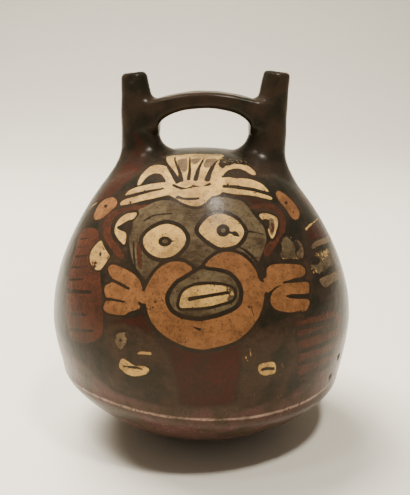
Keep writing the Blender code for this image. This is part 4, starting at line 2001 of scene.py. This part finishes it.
@dataclass
class Vase:
    """The vase itself: its clay, its mesh and its painting."""

    view: PhotoView
    voxel: float = 1.62
    inner_share: float = 0.60
    weld: float = 0.01
    inner_depth: float = 1.4
    skin_depth: float = 0.8
    fine_front: float = -1.0
    fine_foot: float = 29.0
    fine_rims: float = 176.0
    settle_rounds: int = 4
    longest_step: float = 1.2
    least_slope: float = 0.05
    evening: float = 0.5
    base_band: float = 0.15
    normal_step: float = 0.1

    def __post_init__(self) -> None:
        """Work the chips of the photograph into the clay."""
        self.clay = Clay()
        left_rim = ((131.0, 78.0), 3.4, 1.0)
        left_pit = ((139.0, 94.0), 2.2, 0.5)
        right_edge = ((338.5, 357.0), 3.2, 0.8)
        right_turn = ((330.0, 377.0), 3.0, 0.7)
        for spot, size, depth in (left_rim, left_pit, right_edge, right_turn):
            place = self.view.land([spot], self.clay.outside)[0]
            middle = place + self._outward(place) * (size - depth)
            self.clay.chips.append(Chip(tuple(middle.tolist()), size))

    def _outward(self, place: Array) -> Array:
        """Give the direction straight out of the skin at a place.

        Args:
            place: The place.

        Returns:
            The direction, of length one.
        """
        steps = np.eye(3) * self.normal_step
        slope = self.clay.outside(place + steps) - self.clay.outside(place - steps)
        return slope / np.linalg.norm(slope)

    def build(self) -> bpy.types.Object:
        """Build the mesh, paint it and dress it.

        Returns:
            The finished object.
        """
        blank = self._blank()
        self._thin_inside(blank)
        self._refine_front(blank)
        mesh = blank.data
        places = self._settle(mesh)
        painter = Painter(self.clay, self.view, places)
        lower = (Grounds(), BackDesign(), Streamers(), TrophyHeads())
        upper = (Face(), Headdress(), EarOrnaments(), Hands(), MouthMask())
        for group in (*lower, *upper):
            painter.lay_all(group.shapes())
            log.info("painted %s", type(group).__name__)
        painter.store(mesh)
        mesh.shade_smooth()
        mesh.materials.clear()
        mesh.materials.append(PaintedClay().build())
        return blank

    def _blank(self) -> bpy.types.Object:
        """Take an even mesh from the solid of the frame.

        Returns:
            The object that carries the mesh.
        """
        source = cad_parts[VASE_NODE]
        mesh = source.data.copy()
        work = bmesh.new()
        work.from_mesh(mesh)
        bmesh.ops.remove_doubles(work, verts=work.verts, dist=self.weld * MM)
        work.to_mesh(mesh)
        work.free()
        blank = bpy.data.objects.new("painted_vase", mesh)
        bpy.context.scene.collection.objects.link(blank)
        even = blank.modifiers.new("even", "REMESH")
        even.mode = "VOXEL"
        even.voxel_size = self.voxel * MM
        self._apply(blank)
        log.info("even mesh of %d faces", len(blank.data.polygons))
        return blank

    @staticmethod
    def _apply(item: bpy.types.Object) -> None:
        """Turn the object's modifiers into its mesh.

        Args:
            item: The object.
        """
        bpy.context.view_layer.update()
        shaped = item.evaluated_get(bpy.context.evaluated_depsgraph_get())
        mesh = bpy.data.meshes.new_from_object(shaped)
        item.modifiers.clear()
        item.data = mesh

    @staticmethod
    def _places(mesh: bpy.types.Mesh) -> Array:
        """Read the mesh's vertices, in millimetres.

        Args:
            mesh: The mesh.

        Returns:
            The vertices, one row each.
        """
        flat = np.empty(len(mesh.vertices) * 3)
        mesh.vertices.foreach_get("co", flat)
        return flat.reshape(-1, 3) / MM

    def _thin_inside(self, item: bpy.types.Object) -> None:
        """Take vertices away inside the hollow, where nothing is seen.

        Args:
            item: The object that carries the mesh.
        """
        deep = np.nonzero(self.clay.outside(self._places(item.data)) < -self.inner_depth)[0]
        group = item.vertex_groups.new(name="inside")
        group.add(deep.tolist(), 1.0, "ADD")
        thin = item.modifiers.new("thin", "DECIMATE")
        thin.ratio = self.inner_share
        thin.vertex_group = group.name
        thin.vertex_group_factor = 1.0
        self._apply(item)
        item.vertex_groups.clear()
        log.info("thinned to %d faces", len(item.data.polygons))

    def _refine_front(self, item: bpy.types.Object) -> None:
        """Split the faces that carry the painting.

        Args:
            item: The object that carries the mesh.
        """
        work = bmesh.new()
        work.from_mesh(item.data)
        centres = np.array([face.calc_center_median() for face in work.faces]) / MM
        outer = self.clay.outside(centres) > -self.skin_depth
        front = outer & (centres[:, 1] < self.fine_front) & (centres[:, 2] > self.fine_foot)
        rims = outer & (centres[:, 2] > self.fine_rims)
        edges = {edge for face, wanted in zip(work.faces, front | rims) if wanted for edge in face.edges}
        bmesh.ops.subdivide_edges(work, edges=list(edges), cuts=1, use_grid_fill=True)
        bmesh.ops.triangulate(work, faces=work.faces)
        work.to_mesh(item.data)
        work.free()
        log.info("refined to %d triangles", len(item.data.polygons))

    def _settle(self, mesh: bpy.types.Mesh) -> Array:
        """Draw the vertices onto the clay's surface and even them out along it.

        Args:
            mesh: The mesh.

        Returns:
            Where its vertices are then, in millimetres.
        """
        places = self._places(mesh)
        pairs = np.empty(len(mesh.edges) * 2, np.int32)
        mesh.edges.foreach_get("vertices", pairs)
        first, second = pairs.reshape(-1, 2).T
        degree = np.bincount(pairs, minlength=len(places)).astype(float)
        base = places[:, 2] < self.base_band
        for turn in range(self.settle_rounds):
            slope = self.clay.slope(places)
            steep = np.maximum((slope**2).sum(1), self.least_slope)
            step = slope * (self.clay.distance(places) / steep)[:, None]
            length = np.maximum(np.linalg.norm(step, axis=1), TINY)
            places = places - step * np.minimum(1.0, self.longest_step / length)[:, None]
            if turn < self.settle_rounds - 1:
                pulled = np.zeros_like(places)
                for axis in range(3):
                    pulled[:, axis] = np.bincount(first, places[second, axis], len(places))
                    pulled[:, axis] += np.bincount(second, places[first, axis], len(places))
                move = pulled / degree[:, None] - places
                normal = slope / np.sqrt(steep)[:, None]
                move -= (move * normal).sum(1)[:, None] * normal
                places = places + self.evening * move
        places[base, 2] = 0.0
        mesh.vertices.foreach_set("co", (places * MM).ravel())
        mesh.update()
        return places


# The stage


@dataclass(frozen=True)
class Softbox:
    """A soft studio lamp.

    Attributes:
        name: Its name.
        place: Where it hangs, in metres.
        target: What it points at.
        size: Its width and height.
        power: Its power in watts.
        colour: The colour of its light.
        mirrored: Whether the burnished clay mirrors it.
    """

    name: str
    place: tuple[float, float, float]
    target: tuple[float, float, float]
    size: tuple[float, float]
    power: float
    colour: tuple[float, float, float] = (1.0, 0.98, 0.95)
    mirrored: bool = True

    def hang(self) -> None:
        """Hang the lamp in the scene."""
        data = bpy.data.lights.new(self.name, "AREA")
        data.shape = "RECTANGLE"
        data.size, data.size_y = self.size
        data.energy = self.power
        data.color = self.colour
        lamp = bpy.data.objects.new(self.name, data)
        lamp.location = self.place
        aim = Vector(self.target) - Vector(self.place)
        lamp.rotation_euler = aim.to_track_quat("-Z", "Y").to_euler()
        lamp.visible_glossy = self.mirrored
        bpy.context.scene.collection.objects.link(lamp)


@dataclass
class Studio:
    """The pale floor that runs up into a backdrop, and the soft light."""

    half_width: float = 2.5
    front: float = -1.5
    wall: float = 1.8
    bend: float = 0.9
    height: float = 2.0
    bend_step: int = 9
    floor_colour: tuple[float, float, float, float] = (0.80, 0.735, 0.60, 1.0)
    floor_roughness: float = 0.7
    sky_colour: tuple[float, float, float, float] = (1.0, 0.92, 0.82, 1.0)
    sky_strength: float = 0.24
    lamps: tuple[Softbox, ...] = (
        Softbox("overhead", (-0.42, 0.38, 1.10), (-0.08, 0.05, 0.0), (0.85, 0.75), 47.0, mirrored=False),
        Softbox("overhead_sheen", (-0.42, 0.38, 1.10), (-0.08, 0.05, 0.0), (0.85, 0.75), 12.0),
        Softbox("right_spot", (0.23, -0.40, 1.03), (0.0, -0.05, 0.12), (0.13, 0.13), 10.0),
        Softbox("left_spot", (-0.26, -0.29, 1.06), (0.0, -0.05, 0.12), (0.13, 0.13), 2.0),
    )

    def build(self) -> None:
        """Build the sweep, hang the lamps and set the sky."""
        self._sweep()
        for lamp in self.lamps:
            lamp.hang()
        world = bpy.data.worlds.new("studio")
        world.use_nodes = True
        sky = world.node_tree.nodes["Background"]
        sky.inputs["Color"].default_value = self.sky_colour
        sky.inputs["Strength"].default_value = self.sky_strength
        bpy.context.scene.world = world

    def _sweep(self) -> None:
        """Build the floor and backdrop as one bent sheet."""
        line = [(self.front, 0.0)]
        for degrees in range(0, 91, self.bend_step):
            turn = math.radians(degrees)
            back = self.wall - self.bend + self.bend * math.sin(turn)
            line.append((back, self.bend * (1 - math.cos(turn))))
        line.append((self.wall, self.height))
        work = bmesh.new()
        rows = [[work.verts.new((side * self.half_width, y, z)) for side in (-1, 1)] for y, z in line]
        for low, high in zip(rows, rows[1:]):
            work.faces.new((low[0], low[1], high[1], high[0]))
        mesh = bpy.data.meshes.new("floor")
        work.to_mesh(mesh)
        work.free()
        mesh.shade_smooth()
        floor = bpy.data.objects.new("floor", mesh)
        bpy.context.scene.collection.objects.link(floor)
        material = bpy.data.materials.new("pale_floor")
        material.use_nodes = True
        shader = material.node_tree.nodes["Principled BSDF"]
        shader.inputs["Base Color"].default_value = self.floor_colour
        shader.inputs["Roughness"].default_value = self.floor_roughness
        mesh.materials.append(material)


def main() -> None:
    """Build the vase and its stage."""
    logging.basicConfig(level=logging.INFO, format="%(message)s")
    view = PhotoView()
    view.set_camera()
    vase = Vase(view).build()
    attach(vase, "root")
    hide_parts(VASE_NODE)
    log.info("vase of %d triangles", len(vase.data.polygons))
    Studio().build()
    log.info("studio is lit")


if __name__ == "__main__":
    main()
